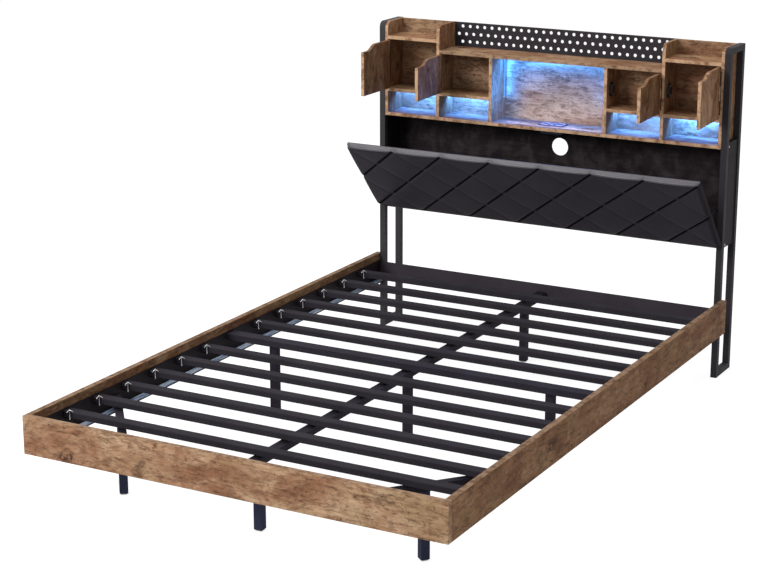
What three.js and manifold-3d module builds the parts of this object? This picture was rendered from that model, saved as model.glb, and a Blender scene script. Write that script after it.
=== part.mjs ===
// A full-size platform bed with a storage headboard, in millimetres, +Z up.
// X runs across the bed, Y from the foot to the head, and the origin is on the floor under the middle.
// Doors and the padded panel are built shut in their own hinge groups, then turned to the open pose.
import * as THREE from 'three';
import { mergeVertices } from 'three/addons/utils/BufferGeometryUtils.js';
import Module from 'manifold-3d';

const wasm = await Module();
wasm.setup();

// Overall sizes
const bedWidth = 1430;
const bedLength = 2317;
const headboardHeight = 1198;
const headboardDepth = 147;

// Gap between neighbouring pieces, how far a cut runs past its piece, and how far a weld goes in
const fit = 0.3;
const overrun = 2;
const weldDepth = 1;

// Wooden boards round the base
const boardThickness = 20;
const boardHeight = 121.4;
const boardUndersideZ = 170.6;
const sideBoardPastPost = 14;

// Steel angles behind the boards
const railSteel = 3;
const railUndersideZ = 190;
const sideRailHeight = 75;
const headRailHeight = 70;
const railFlangeWidth = 30;
const headFlangeWidth = 20;

// Slats, and the lugs on the side rails that carry them
const slatPlaces = 13;
const firstSlatFromFoot = 182.6;
const lastSlatFromPosts = 162.8;
const slatPitch = 150;
const slatWidth = 38;
const slatThickness = 20.5;
const slatTopZ = 261;
const slatCornerRadius = 3;
const slatEndGap = 1.5;
const lugWidth = 34;
const lugThickness = 3;
const lugReach = 26;
const slatFootSize = 12;

// Cross beam in the middle, centre beam, legs and the braces at the foot corners
const crossBeamWidth = 46;
const crossBeamThickness = 21.5;
const crossLegFromRail = 176;
const crossLegBehindMiddle = 9;
const centreBeamWidth = 35;
const centreBeamHeight = 21;
const centreBeamTopZ = 230;
const centreLegFromFoot = 186.5;
const centreLegFromPosts = 155;
const legSize = 26.5;
const glideSize = 20;
const glideHeight = 4;
const braceWidth = 25;
const braceHeight = 20;
const braceFootFromRail = 336;
const braceSideFromFoot = 415;
const cornerLegShare = 0.494;

// Tubular side frames of the headboard
const tubeSize = 22;
const frameCornerRadius = 22;
const frameInnerRadius = 4;

// Cabinet boards
const panelThickness = 12;
const cabinetInset = 2;
const backPanelInset = 15;
const centreBayWidth = 446;
const dividerCornerRadius = 26;

// Levels of the cabinet, as shares of the headboard's height
const floorBoardShare = 0.403172;
const mainShelfShare = 0.702421;
const litBayShare = 0.06803;
const guardShare = 0.077129;
const cubbyShare = 0.043823;

// Storage space behind the padded panel
const lowerSideThickness = 18;
const lowerSideBelowFloor = 3;
const lowerSideAboveShelf = 6.5;
const lowerBackThickness = 5.5;
const lowerBackLap = 10;
const cableHoleRadius = 33.5;
const cableHoleBelowShelf = 82;

// Perforated guard behind the top board
const guardThickness = 1.5;
const guardLap = 12;
const guardHoleRadius = 6.25;
const guardHolePitch = 30.3;
const guardRowPitch = 29;
const guardRowBelowEdge = 15;
const guardRows = 3;
const guardSideMargin = 8;

// Doors with a dipped top edge, their hinges, and how far doors 1 to 4 stand open
const doorThickness = 12;
const doorSideGap = 2;
const doorFreeGap = 1.7;
const doorBottomGap = 1;
const doorTopGap = 2.5;
const doorDrop = 20;
const doorDropStartShare = 0.54;
const doorDropEndShare = 0.81;
const doorDropBendShare = 0.09;
const doorOpenAngles = [90, 88, 92, 92].map(THREE.MathUtils.degToRad);
const knuckleRadius = 2.5;
const hingePinRadius = 1.2;
const hingeAxisInWall = 1.5;
const leafThickness = 1;
const leafDepth = 22;
const leafEndInset = 15;
const doorKnuckleCount = 3;

// Padded panel that tilts down in front of the storage space
const padSideInset = 2.7;
const padBoardThickness = 9;
const padRestGap = 1.5;
const padBottomGap = 3.5;
const padAboveShelf = 20;
const padOpenAngle = THREE.MathUtils.degToRad(42);
const padKnuckleRadius = 3;
const padPinRadius = 1.5;
const padKnuckleCount = 11;
const padHingeLength = 1200;
const padAxisAboveFloorBoard = 5.5;
const padLeafThickness = 1.2;
const padLeafHeight = 28;
const hingeStripThickness = 1.5;
const hingeStripDepth = 25;

// Quilted cushion on the panel
const quiltCrown = 16;
const quiltChannel = 9;
const quiltSide = 6;
const quiltRollRadius = 15;
const quiltNotchDepth = 3;
const quiltCornerRadius = 5;
const diamondsAcross = 7;
const diamondsHigh = 2;
const stepsPerDiamond = 6;
const quiltPuffPower = 0.45;
const quiltRimStepShares = [0.18, 0.45, 0.85];

// Slotted stays that hold the open panel, and their fixed pins
const stayRadius = 120;
const stayWidth = 14;
const stayThickness = 2;
const stayGap = 1;
const stayPinRadius = 3;
const staySlotPlay = 0.4;
const stayHeadRadius = 5;
const stayHeadThickness = 1.5;
const stayPinBehind = THREE.MathUtils.degToRad(5);
const stayTailAngle = THREE.MathUtils.degToRad(5);
const staySteps = 8;
const stayTabHeight = 34;
const stayTabWidth = 16;
const stayPlateThickness = 2;
const stayPlateDepth = 18;
const stayPlateAbovePin = 12;

// Light strip and power outlet
const stripWidth = 8;
const stripThickness = 2;
const stripFromBack = 4;
const outletWidth = 96;
const outletDepth = 58;
const outletFlange = 3;
const outletBodyInset = 6;
const outletBodyHeight = 34;
const outletFromFront = 68;
const socketPitch = 30;
const socketSlotLength = 8;
const socketSlotWidth = 2.5;
const socketSlotGap = 12;
const socketSlotDepth = 10;
const socketEarthRadius = 2.6;
const socketEarthBelow = 10;
const usbWidth = 13;
const usbHeight = 5.5;
const usbPitch = 16;
const inletRadius = 4;
const inletDepth = 6;

// How round the small round things are; an arc gets twice its number of segments
const roundSides = 12;
const cornerSegments = 3;
const slatSegments = 1;
const holeSegments = 5;
const curveSteps = 8;

// Places worked out from the sizes: X from the middle, Y from the foot board's outer face, Z from the floor
const halfWidth = bedWidth / 2;
const boardInnerX = halfWidth - boardThickness;
const boardTopZ = boardUndersideZ + boardHeight;
const postFrontY = bedLength - headboardDepth;
const frameOuterX = boardInnerX - fit;
const frameInnerX = frameOuterX - tubeSize;

const railOuterX = boardInnerX - fit;
const railInnerX = railOuterX - railSteel;
const flangeInnerX = railOuterX - railFlangeWidth;
const flangeTopZ = railUndersideZ + railSteel;
const sideRailTopZ = railUndersideZ + sideRailHeight;
const footRailY = boardThickness + fit;
const footRailInnerY = footRailY + railSteel;
const headRailRearY = postFrontY - fit;
const headRailInnerY = headRailRearY - railSteel;

const slatEndX = railInnerX - slatEndGap;
const slatUndersideZ = slatTopZ - slatThickness;
const crossBeamUndersideZ = slatTopZ - crossBeamThickness;
const lastSlatY = postFrontY - lastSlatFromPosts;
const crossBeamPlace = (slatPlaces - 1) / 2;
const crossBeamY = (firstSlatFromFoot + lastSlatY) / 2;
const crossLegY = crossBeamY + crossLegBehindMiddle;
const centreBeamUndersideZ = centreBeamTopZ - centreBeamHeight;

const cabinetFrontY = postFrontY + cabinetInset;
const backRearY = bedLength - backPanelInset;
const backFrontY = backRearY - panelThickness;
const lowerBackFrontY = backRearY + fit;
const lowerBackRearY = lowerBackFrontY + lowerBackThickness;
const shelfRearY = backFrontY - fit;
const sidePanelOuterX = frameInnerX - fit;
const sidePanelInnerX = sidePanelOuterX - panelThickness;
const centreBayX = centreBayWidth / 2;
const innerDividerOuterX = centreBayX + panelThickness;
const columnWidth = (sidePanelInnerX - innerDividerOuterX - panelThickness) / 2;
const outerDividerInnerX = innerDividerOuterX + columnWidth;
const outerDividerOuterX = outerDividerInnerX + panelThickness;
const mainShelfUndersideZ = headboardHeight * mainShelfShare;
const mainShelfTopZ = mainShelfUndersideZ + panelThickness;
const litCeilingZ = mainShelfTopZ + headboardHeight * litBayShare;
const smallShelfTopZ = litCeilingZ + panelThickness;
const topBoardTopZ = headboardHeight - headboardHeight * guardShare;
const topBoardUndersideZ = topBoardTopZ - panelThickness;
const cubbyShelfTopZ = headboardHeight - headboardHeight * cubbyShare;
const cubbyShelfUndersideZ = cubbyShelfTopZ - panelThickness;
const floorBoardUndersideZ = headboardHeight * floorBoardShare;
const floorBoardTopZ = floorBoardUndersideZ + panelThickness;

const stripRearY = backFrontY - stripFromBack;
const stripFrontY = stripRearY - stripWidth;
const stripTopZ = litCeilingZ - fit;
const stripUndersideZ = stripTopZ - stripThickness;
const outletY = cabinetFrontY + outletFromFront;

const padWidth = (frameOuterX - padSideInset) * 2;
const padAxisY = postFrontY - padRestGap;
const padAxisZ = floorBoardTopZ + padAxisAboveFloorBoard;
const padHeight = mainShelfTopZ + padAboveShelf - padAxisZ - padBottomGap;

// Materials
function paint(name, colour, roughness, metalness) {
  const material = new THREE.MeshStandardMaterial({ color: colour, roughness, metalness });
  material.name = name;
  return material;
}
const rusticWood = paint('rustic_wood', 0x8a6a4c, 0.6, 0);
const blackWood = paint('black_wood', 0x2b2724, 0.65, 0);
const blackSteel = paint('black_steel', 0x343135, 0.45, 0.6);
const hingeSteel = paint('hinge_steel', 0x9a9aa0, 0.35, 0.9);
const blackLeather = paint('black_leather', 0x2a282c, 0.42, 0);
const blackPlastic = paint('black_plastic', 0x1a1a1d, 0.4, 0);
const lightTape = paint('light_tape', 0x8fd0ff, 0.5, 0);

// A closed geometry with shared corners, which is what the joins and cuts need
function closed(geometry) {
  const bare = geometry.clone();
  bare.deleteAttribute('normal');
  bare.deleteAttribute('uv');
  return mergeVertices(bare);
}

function toSolid(geometry) {
  const vertProperties = Float32Array.from(geometry.attributes.position.array);
  const triVerts = Uint32Array.from(geometry.index.array);
  return new wasm.Manifold(new wasm.Mesh({ numProp: 3, vertProperties, triVerts }));
}

function toGeometry(solid) {
  const mesh = solid.getMesh();
  const geometry = new THREE.BufferGeometry();
  geometry.setAttribute('position', new THREE.BufferAttribute(mesh.vertProperties, 3));
  geometry.setIndex(new THREE.BufferAttribute(mesh.triVerts, 1));
  return geometry;
}

function join(...geometries) {
  return toGeometry(geometries.map(toSolid).reduce((whole, next) => whole.add(next)));
}

function cut(body, ...tools) {
  return toGeometry(tools.map(toSolid).reduce((left, tool) => left.subtract(tool), toSolid(body)));
}

function common(first, second) {
  return toGeometry(toSolid(first).intersect(toSolid(second)));
}

// The same geometry on the other side of the middle plane
function mirrored(geometry) {
  const copy = geometry.clone();
  copy.scale(-1, 1, 1);
  const corners = copy.index.array;
  for (let start = 0; start < corners.length; start += 3) {
    const second = corners[start + 1];
    corners[start + 1] = corners[start + 2];
    corners[start + 2] = second;
  }
  return copy;
}

function onSide(side, geometry) {
  return side < 0 ? mirrored(geometry) : geometry;
}

// Puts every corner of a unit-long shape where it belongs, so that shared faces match exactly
function placed(geometry, place) {
  const corners = geometry.attributes.position;
  for (let number = 0; number < corners.count; number += 1) {
    const corner = place(corners.getX(number), corners.getY(number), corners.getZ(number));
    corners.setXYZ(number, ...corner);
  }
  return closed(geometry);
}

// A block between two places along each axis
function block(x0, x1, y0, y1, z0, z1) {
  const cube = new THREE.BoxGeometry(1, 1, 1);
  return placed(cube, (x, y, z) => [x < 0 ? x0 : x1, y < 0 ? y0 : y1, z < 0 ? z0 : z1]);
}

function centredBlock(x, y, size, z0, z1) {
  const half = size / 2;
  return block(x - half, x + half, y - half, y + half, z0, z1);
}

// An outline drawn in Y and Z, pulled along X
function extrudeAlongX(outline, x0, x1, curveSegments = cornerSegments) {
  const slab = new THREE.ExtrudeGeometry(outline, { depth: 1, bevelEnabled: false, curveSegments });
  return placed(slab, (y, z, along) => [along < 1 / 2 ? x0 : x1, y, z]);
}

// An outline drawn in X and Z, pulled along Y
function extrudeAlongY(outline, y0, y1, curveSegments = cornerSegments) {
  const slab = new THREE.ExtrudeGeometry(outline, { depth: 1, bevelEnabled: false, curveSegments });
  return placed(slab, (x, z, along) => [x, along < 1 / 2 ? y1 : y0, z]);
}

function rod(radius, sides = roundSides) {
  return new THREE.CylinderGeometry(radius, radius, 1, sides);
}

function rodAlongX(radius, x0, x1, y, z) {
  return placed(rod(radius), (up, along, side) => [along < 0 ? x0 : x1, y + side, z + up]);
}

function rodAlongY(radius, x, y0, y1, z, sides = roundSides) {
  return placed(rod(radius, sides), (side, along, up) => [x + side, along < 0 ? y0 : y1, z + up]);
}

function rodAlongZ(radius, x, y, z0, z1) {
  return placed(rod(radius), (back, along, side) => [x + side, y + back, along < 0 ? z0 : z1]);
}

function roundedRectangle(width, height, radius, centreX, centreY) {
  const x = width / 2 - radius;
  const y = height / 2 - radius;
  const outline = new THREE.Shape();
  outline.absarc(centreX + x, centreY - y, radius, -Math.PI / 2, 0);
  outline.absarc(centreX + x, centreY + y, radius, 0, Math.PI / 2);
  outline.absarc(centreX - x, centreY + y, radius, Math.PI / 2, Math.PI);
  outline.absarc(centreX - x, centreY - y, radius, Math.PI, Math.PI * 1.5);
  return outline;
}

// An upright board in Y and Z whose top corner at the front is round
function roundedFrontOutline(y0, y1, z0, z1, radius) {
  const outline = new THREE.Shape();
  outline.moveTo(y0, z0);
  outline.lineTo(y1, z0);
  outline.lineTo(y1, z1);
  outline.absarc(y0 + radius, z1 - radius, radius, Math.PI / 2, Math.PI);
  return outline;
}

function addPiece(parent, name, geometry, material) {
  const mesh = new THREE.Mesh(geometry, material);
  mesh.name = name;
  mesh.geometry.computeVertexNormals();
  parent.add(mesh);
  return mesh;
}

const sides = [['left', -1], ['right', 1]];

const bed = new THREE.Group();
bed.position.y = -bedLength / 2;

// Wooden boards round the base
function addBaseBoards() {
  const footBoard = block(-halfWidth, halfWidth, 0, boardThickness, boardUndersideZ, boardTopZ);
  addPiece(bed, 'foot_board', footBoard, rusticWood);
  const sideEndY = postFrontY + sideBoardPastPost;
  for (const [word, side] of sides) {
    const board = block(boardInnerX, halfWidth, boardThickness + fit, sideEndY, boardUndersideZ, boardTopZ);
    addPiece(bed, `side_board_${word}`, onSide(side, board), rusticWood);
  }
}

// Slats go in two evenly spaced halves, with the cross beam midway between them
function slatY(place) {
  if (place < crossBeamPlace) return firstSlatFromFoot + place * slatPitch;
  if (place > crossBeamPlace) return lastSlatY - (slatPlaces - 1 - place) * slatPitch;
  return crossBeamY;
}

// Steel angles; the side rails have a lug under each slat
function slatLug(place) {
  const undersideZ = place === crossBeamPlace ? crossBeamUndersideZ : slatUndersideZ;
  const lugTopZ = undersideZ - fit;
  const y = slatY(place);
  const lugEndX = railInnerX + weldDepth;
  const lugZ = lugTopZ - lugThickness;
  return block(railInnerX - lugReach, lugEndX, y - lugWidth / 2, y + lugWidth / 2, lugZ, lugTopZ);
}

function addRails() {
  const sideEndY = headRailInnerY - fit;
  for (const [word, side] of sides) {
    const web = block(railInnerX, railOuterX, footRailY, sideEndY, railUndersideZ, sideRailTopZ);
    const flange = block(flangeInnerX, railOuterX, footRailY, sideEndY, railUndersideZ, flangeTopZ);
    const lugs = [];
    for (let place = 0; place < slatPlaces; place += 1) {
      lugs.push(slatLug(place));
    }
    addPiece(bed, `side_rail_${word}`, onSide(side, join(web, flange, ...lugs)), blackSteel);
  }
  const flangeX = flangeInnerX - fit;
  const webX = railInnerX - fit;
  const footFlangeY = footRailY + railFlangeWidth;
  const footRail = join(
    block(-flangeX, flangeX, footRailY, footRailInnerY, railUndersideZ, sideRailTopZ),
    block(-webX, webX, footRailY, footRailInnerY, flangeTopZ + fit, sideRailTopZ),
    block(-flangeX, flangeX, footRailY, footFlangeY, railUndersideZ, flangeTopZ),
  );
  addPiece(bed, 'foot_rail', footRail, blackSteel);
  const headTopZ = railUndersideZ + headRailHeight;
  const headFlangeY = headRailInnerY - headFlangeWidth;
  const headRail = join(
    block(-railOuterX, railOuterX, headRailInnerY, headRailRearY, railUndersideZ, headTopZ),
    block(-flangeX, flangeX, headFlangeY, headRailRearY, railUndersideZ, flangeTopZ),
  );
  addPiece(bed, 'head_rail', headRail, blackSteel);
}

// A square leg on a pale glide, turned about its own middle, up to the piece that it is welded under
function leg(x, y, undersideZ, turn = 0) {
  const whole = join(
    centredBlock(0, 0, legSize, glideHeight, undersideZ + weldDepth),
    centredBlock(0, 0, glideSize, 0, glideHeight + weldDepth),
  );
  whole.rotateZ(turn);
  whole.translate(x, y, 0);
  return whole;
}

// Slats and the foot that each of them rests on the centre beam with
function standOff(y, undersideZ) {
  return centredBlock(0, y, slatFootSize, centreBeamTopZ + fit, undersideZ + weldDepth);
}

function addSlats() {
  const middleZ = (slatTopZ + slatUndersideZ) / 2;
  let number = 0;
  for (let place = 0; place < slatPlaces; place += 1) {
    if (place === crossBeamPlace) continue;
    number += 1;
    const y = slatY(place);
    const section = roundedRectangle(slatWidth, slatThickness, slatCornerRadius, y, middleZ);
    const bar = extrudeAlongX(section, -slatEndX, slatEndX, slatSegments);
    const name = `slat_${String(number).padStart(2, '0')}`;
    addPiece(bed, name, join(bar, standOff(y, slatUndersideZ)), blackSteel);
  }
}

function addBeams() {
  const halfCross = crossBeamWidth / 2;
  const crossY0 = crossBeamY - halfCross;
  const crossY1 = crossBeamY + halfCross;
  const crossLegX = railInnerX - crossLegFromRail;
  const crossBeam = join(
    block(-slatEndX, slatEndX, crossY0, crossY1, crossBeamUndersideZ, slatTopZ),
    standOff(crossBeamY, crossBeamUndersideZ),
    leg(-crossLegX, crossLegY, crossBeamUndersideZ),
    leg(crossLegX, crossLegY, crossBeamUndersideZ),
  );
  addPiece(bed, 'mid_cross_beam', crossBeam, blackSteel);
  const halfBeam = centreBeamWidth / 2;
  const beamY0 = footRailInnerY + fit;
  const beamY1 = headRailInnerY - fit;
  const centreBeam = join(
    block(-halfBeam, halfBeam, beamY0, beamY1, centreBeamUndersideZ, centreBeamTopZ),
    leg(0, centreLegFromFoot, centreBeamUndersideZ),
    leg(0, crossLegY, centreBeamUndersideZ),
    leg(0, postFrontY - centreLegFromPosts, centreBeamUndersideZ),
  );
  addPiece(bed, 'centre_beam', centreBeam, blackSteel);
}

// Brace across each corner at the foot, with its leg
function addCornerLegs() {
  const footEnd = new THREE.Vector2(railInnerX - braceFootFromRail, footRailInnerY + fit);
  const sideEnd = new THREE.Vector2(railInnerX - fit, footRailInnerY + braceSideFromFoot);
  const along = sideEnd.clone().sub(footEnd);
  const middle = footEnd.clone().lerp(sideEnd, 1 / 2);
  const legPlace = footEnd.clone().lerp(sideEnd, cornerLegShare);
  const braceUndersideZ = centreBeamTopZ - braceHeight;
  const bar = new THREE.BoxGeometry(along.length() + 2 * braceWidth, braceWidth, braceHeight);
  bar.rotateZ(along.angle());
  bar.translate(middle.x, middle.y, centreBeamTopZ - braceHeight / 2);
  const room = block(0, sideEnd.x, footEnd.y, bedLength, braceUndersideZ - overrun, centreBeamTopZ + overrun);
  const brace = common(closed(bar), room);
  const whole = join(brace, leg(legPlace.x, legPlace.y, braceUndersideZ, along.angle()));
  for (const [word, side] of sides) {
    addPiece(bed, `corner_leg_${word}`, onSide(side, whole), blackSteel);
  }
}

// Headboard: tubular side frames and the boards between them
function addSideFrames() {
  const innerY0 = postFrontY + tubeSize;
  const innerY1 = bedLength - tubeSize;
  const innerTopZ = headboardHeight - tubeSize;
  const outline = roundedFrontOutline(postFrontY, bedLength, 0, headboardHeight, frameCornerRadius);
  outline.holes.push(roundedFrontOutline(innerY0, innerY1, tubeSize, innerTopZ, frameInnerRadius));
  const frame = extrudeAlongX(outline, frameInnerX, frameOuterX);
  const panelTopZ = mainShelfTopZ + lowerSideAboveShelf;
  const panelZ = floorBoardUndersideZ - lowerSideBelowFloor;
  const panelX = frameInnerX + lowerSideThickness;
  const lowerSide = block(frameInnerX, panelX, innerY0 + fit, innerY1 - fit, panelZ, panelTopZ);
  const radius = dividerCornerRadius;
  const upperOutline = roundedFrontOutline(cabinetFrontY, backRearY, mainShelfUndersideZ, headboardHeight, radius);
  const upperSide = extrudeAlongX(upperOutline, sidePanelInnerX, sidePanelOuterX);
  for (const [word, side] of sides) {
    addPiece(bed, `side_frame_${word}`, onSide(side, frame), blackSteel);
    addPiece(bed, `lower_side_panel_${word}`, onSide(side, lowerSide), blackWood);
    addPiece(bed, `upper_side_panel_${word}`, onSide(side, upperSide), rusticWood);
  }
}

function addStorage() {
  const edgeX = sidePanelOuterX;
  const floorBoard = block(-edgeX, edgeX, cabinetFrontY, lowerBackRearY, floorBoardUndersideZ, floorBoardTopZ);
  addPiece(bed, 'lower_floor_board', floorBoard, blackWood);
  const backZ0 = floorBoardTopZ + fit;
  const backZ1 = mainShelfUndersideZ + lowerBackLap;
  const holeZ = mainShelfUndersideZ - cableHoleBelowShelf;
  const holeY0 = lowerBackFrontY - overrun;
  const holeY1 = lowerBackRearY + overrun;
  const hole = rodAlongY(cableHoleRadius, 0, holeY0, holeY1, holeZ, roundSides * 2);
  const backPanel = cut(block(-edgeX, edgeX, lowerBackFrontY, lowerBackRearY, backZ0, backZ1), hole);
  addPiece(bed, 'lower_back_panel', backPanel, blackWood);
}

// The back of the cabinet is notched where the guard shows above the top board
function addUpperBack() {
  const edgeX = sidePanelInnerX - fit;
  const outline = new THREE.Shape();
  outline.moveTo(-edgeX, mainShelfUndersideZ);
  outline.lineTo(edgeX, mainShelfUndersideZ);
  outline.lineTo(edgeX, headboardHeight);
  outline.lineTo(outerDividerInnerX, headboardHeight);
  outline.lineTo(outerDividerInnerX, topBoardTopZ);
  outline.lineTo(-outerDividerInnerX, topBoardTopZ);
  outline.lineTo(-outerDividerInnerX, headboardHeight);
  outline.lineTo(-edgeX, headboardHeight);
  addPiece(bed, 'upper_back_panel', extrudeAlongY(outline, backFrontY, backRearY), rusticWood);
}

function shelf(x0, x1, undersideZ) {
  return block(x0 + fit, x1 - fit, cabinetFrontY, shelfRearY, undersideZ, undersideZ + panelThickness);
}

function addShelves() {
  const bodyX = outletWidth / 2 - outletBodyInset + fit;
  const bodyY = outletDepth / 2 - outletBodyInset + fit;
  const window = block(
    -bodyX, bodyX, outletY - bodyY, outletY + bodyY,
    mainShelfUndersideZ - overrun, mainShelfTopZ + overrun,
  );
  const mainShelf = cut(shelf(-sidePanelInnerX, sidePanelInnerX, mainShelfUndersideZ), window);
  addPiece(bed, 'main_shelf', mainShelf, rusticWood);
  const topBoard = shelf(-outerDividerInnerX, outerDividerInnerX, topBoardUndersideZ);
  addPiece(bed, 'top_board', topBoard, rusticWood);
  for (const [word, side] of sides) {
    const inner = shelf(innerDividerOuterX, outerDividerInnerX, litCeilingZ);
    const outer = shelf(outerDividerOuterX, sidePanelInnerX, litCeilingZ);
    const cubby = shelf(outerDividerOuterX, sidePanelInnerX, cubbyShelfUndersideZ);
    addPiece(bed, `small_shelf_inner_${word}`, onSide(side, inner), rusticWood);
    addPiece(bed, `small_shelf_outer_${word}`, onSide(side, outer), rusticWood);
    addPiece(bed, `cubby_shelf_${word}`, onSide(side, cubby), rusticWood);
  }
}

function addDividers() {
  const dividerZ = mainShelfTopZ + fit;
  const slot = block(
    centreBayX - overrun, outerDividerOuterX + overrun,
    stripFrontY - fit, stripRearY + fit, stripUndersideZ - fit, stripTopZ + fit,
  );
  const outline = roundedFrontOutline(cabinetFrontY, shelfRearY, dividerZ, headboardHeight, dividerCornerRadius);
  const outer = cut(extrudeAlongX(outline, outerDividerInnerX, outerDividerOuterX), slot);
  const innerTopZ = topBoardUndersideZ - fit;
  const board = block(centreBayX, innerDividerOuterX, cabinetFrontY, shelfRearY, dividerZ, innerTopZ);
  const inner = cut(board, slot);
  for (const [word, side] of sides) {
    addPiece(bed, `tall_divider_${word}`, onSide(side, outer), rusticWood);
    addPiece(bed, `inner_divider_${word}`, onSide(side, inner), rusticWood);
  }
}

// Sheet with rows of round holes, every other row shifted by half a pitch
function addGuard() {
  const edgeX = outerDividerInnerX + guardLap;
  const outline = new THREE.Shape();
  outline.moveTo(-edgeX, topBoardTopZ - guardLap);
  outline.lineTo(edgeX, topBoardTopZ - guardLap);
  outline.lineTo(edgeX, headboardHeight);
  outline.lineTo(-edgeX, headboardHeight);
  const reach = (outerDividerInnerX - guardSideMargin) / guardHolePitch;
  for (let row = 0; row < guardRows; row += 1) {
    const shift = row % 2 === 0 ? 1 / 2 : 0;
    const last = Math.floor(reach - shift) + shift;
    const z = headboardHeight - guardRowBelowEdge - row * guardRowPitch;
    for (let place = -last; place <= last; place += 1) {
      const hole = new THREE.Path();
      hole.absarc(place * guardHolePitch, z, guardHoleRadius, 0, Math.PI * 2);
      outline.holes.push(hole);
    }
  }
  const y0 = backRearY + fit;
  addPiece(bed, 'perforated_guard', extrudeAlongY(outline, y0, y0 + guardThickness, holeSegments), blackSteel);
}

// Hinge knuckles share the height between them; even ones are fixed and odd ones move
function knuckleSpans(start, end, count) {
  const length = (end - start) / count;
  const spans = [];
  for (let number = 0; number < count; number += 1) {
    const low = start + number * length + fit / 2;
    spans.push({ moving: number % 2 === 1, low, high: low + length - fit });
  }
  return spans;
}

// Places of a door hinge, measured from its axis: along the door (X) and into the cabinet (Y)
const fixedLeafX = hingeAxisInWall + fit;
const fixedLeafEndX = fixedLeafX + leafThickness;
const movingLeafX = fixedLeafEndX + fit;
const movingLeafEndX = movingLeafX + leafThickness;
const doorEdgeX = hingeAxisInWall + doorSideGap;
const doorFaceY = knuckleRadius + fit;

function doorGeometry(width, lowZ, hingeTopZ) {
  const freeTopZ = hingeTopZ - doorDrop;
  const startX = doorEdgeX + width * doorDropStartShare;
  const endX = doorEdgeX + width * doorDropEndShare;
  const bend = width * doorDropBendShare;
  const outline = new THREE.Shape();
  outline.moveTo(doorEdgeX, lowZ);
  outline.lineTo(doorEdgeX + width, lowZ);
  outline.lineTo(doorEdgeX + width, freeTopZ);
  outline.lineTo(endX, freeTopZ);
  outline.bezierCurveTo(endX - bend, freeTopZ, startX + bend, hingeTopZ, startX, hingeTopZ);
  outline.lineTo(doorEdgeX, hingeTopZ);
  const slab = extrudeAlongY(outline, doorFaceY, doorFaceY + doorThickness, curveSteps);
  const leafLowZ = lowZ + leafEndInset;
  const leafTopZ = hingeTopZ - leafEndInset;
  const leafY = doorFaceY + doorThickness - leafThickness;
  const pieces = [slab, block(movingLeafX, movingLeafEndX, doorFaceY, leafY, leafLowZ, leafTopZ)];
  const holes = [];
  for (const { moving, low, high } of knuckleSpans(leafLowZ, leafTopZ, doorKnuckleCount)) {
    if (!moving) continue;
    pieces.push(rodAlongZ(knuckleRadius, 0, 0, low, high));
    pieces.push(block(0, movingLeafEndX, -leafThickness, leafThickness, low, high));
    pieces.push(block(movingLeafX, movingLeafEndX, -leafThickness, leafY, low, high));
    holes.push(rodAlongZ(hingePinRadius + fit, 0, 0, low - overrun, high + overrun));
  }
  return cut(join(...pieces), ...holes);
}

function doorHingeGeometry(lowZ, hingeTopZ) {
  const leafLowZ = lowZ + leafEndInset;
  const leafTopZ = hingeTopZ - leafEndInset;
  const pieces = [
    block(fixedLeafX, fixedLeafEndX, doorFaceY, doorFaceY + leafDepth, leafLowZ, leafTopZ),
    rodAlongZ(hingePinRadius, 0, 0, leafLowZ, leafTopZ),
  ];
  for (const { moving, low, high } of knuckleSpans(leafLowZ, leafTopZ, doorKnuckleCount)) {
    if (moving) continue;
    pieces.push(rodAlongZ(knuckleRadius, 0, 0, low, high));
    pieces.push(block(fixedLeafX, fixedLeafEndX, 0, doorFaceY + weldDepth, low, high));
  }
  return join(...pieces);
}

// A door is hinged on its outer side and stands open at about a right angle
function addDoor(number, side, wallX, ceilingZ) {
  const lowZ = smallShelfTopZ + doorBottomGap;
  const hingeTopZ = ceilingZ - doorTopGap;
  const width = columnWidth - doorSideGap - doorFreeGap;
  const hinge = new THREE.Group();
  hinge.position.set(side * (wallX + hingeAxisInWall), cabinetFrontY - doorFaceY, 0);
  bed.add(hinge);
  const fixed = doorHingeGeometry(lowZ, hingeTopZ);
  addPiece(hinge, `door_hinge_${number}`, onSide(-side, fixed), hingeSteel);
  const swing = new THREE.Group();
  swing.rotation.z = side * doorOpenAngles[number - 1];
  hinge.add(swing);
  const door = doorGeometry(width, lowZ, hingeTopZ);
  addPiece(swing, `door_${number}`, onSide(-side, door), rusticWood);
}

function addDoors() {
  addDoor(1, -1, sidePanelInnerX, cubbyShelfUndersideZ);
  addDoor(2, -1, outerDividerInnerX, topBoardUndersideZ);
  addDoor(3, 1, outerDividerInnerX, topBoardUndersideZ);
  addDoor(4, 1, sidePanelInnerX, cubbyShelfUndersideZ);
}

// Padded panel, measured from its hinge axis: Y back into the headboard, Z up the shut panel
function tiltBoardGeometry() {
  const halfPad = padWidth / 2;
  const halfHinge = padHingeLength / 2;
  const topZ = padBottomGap + padHeight;
  const pieces = [
    block(-halfPad, halfPad, -padBoardThickness, 0, padBottomGap, topZ),
    block(-halfHinge, halfHinge, -weldDepth, padLeafThickness, padBottomGap, padLeafHeight),
  ];
  const holes = [];
  for (const { moving, low, high } of knuckleSpans(-halfHinge, halfHinge, padKnuckleCount)) {
    if (!moving) continue;
    pieces.push(rodAlongX(padKnuckleRadius, low, high, 0, 0));
    pieces.push(block(low, high, 0, padLeafThickness, 0, padLeafHeight));
    holes.push(rodAlongX(padPinRadius + fit, low - overrun, high + overrun, 0, 0));
  }
  return cut(join(...pieces), ...holes);
}

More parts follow.
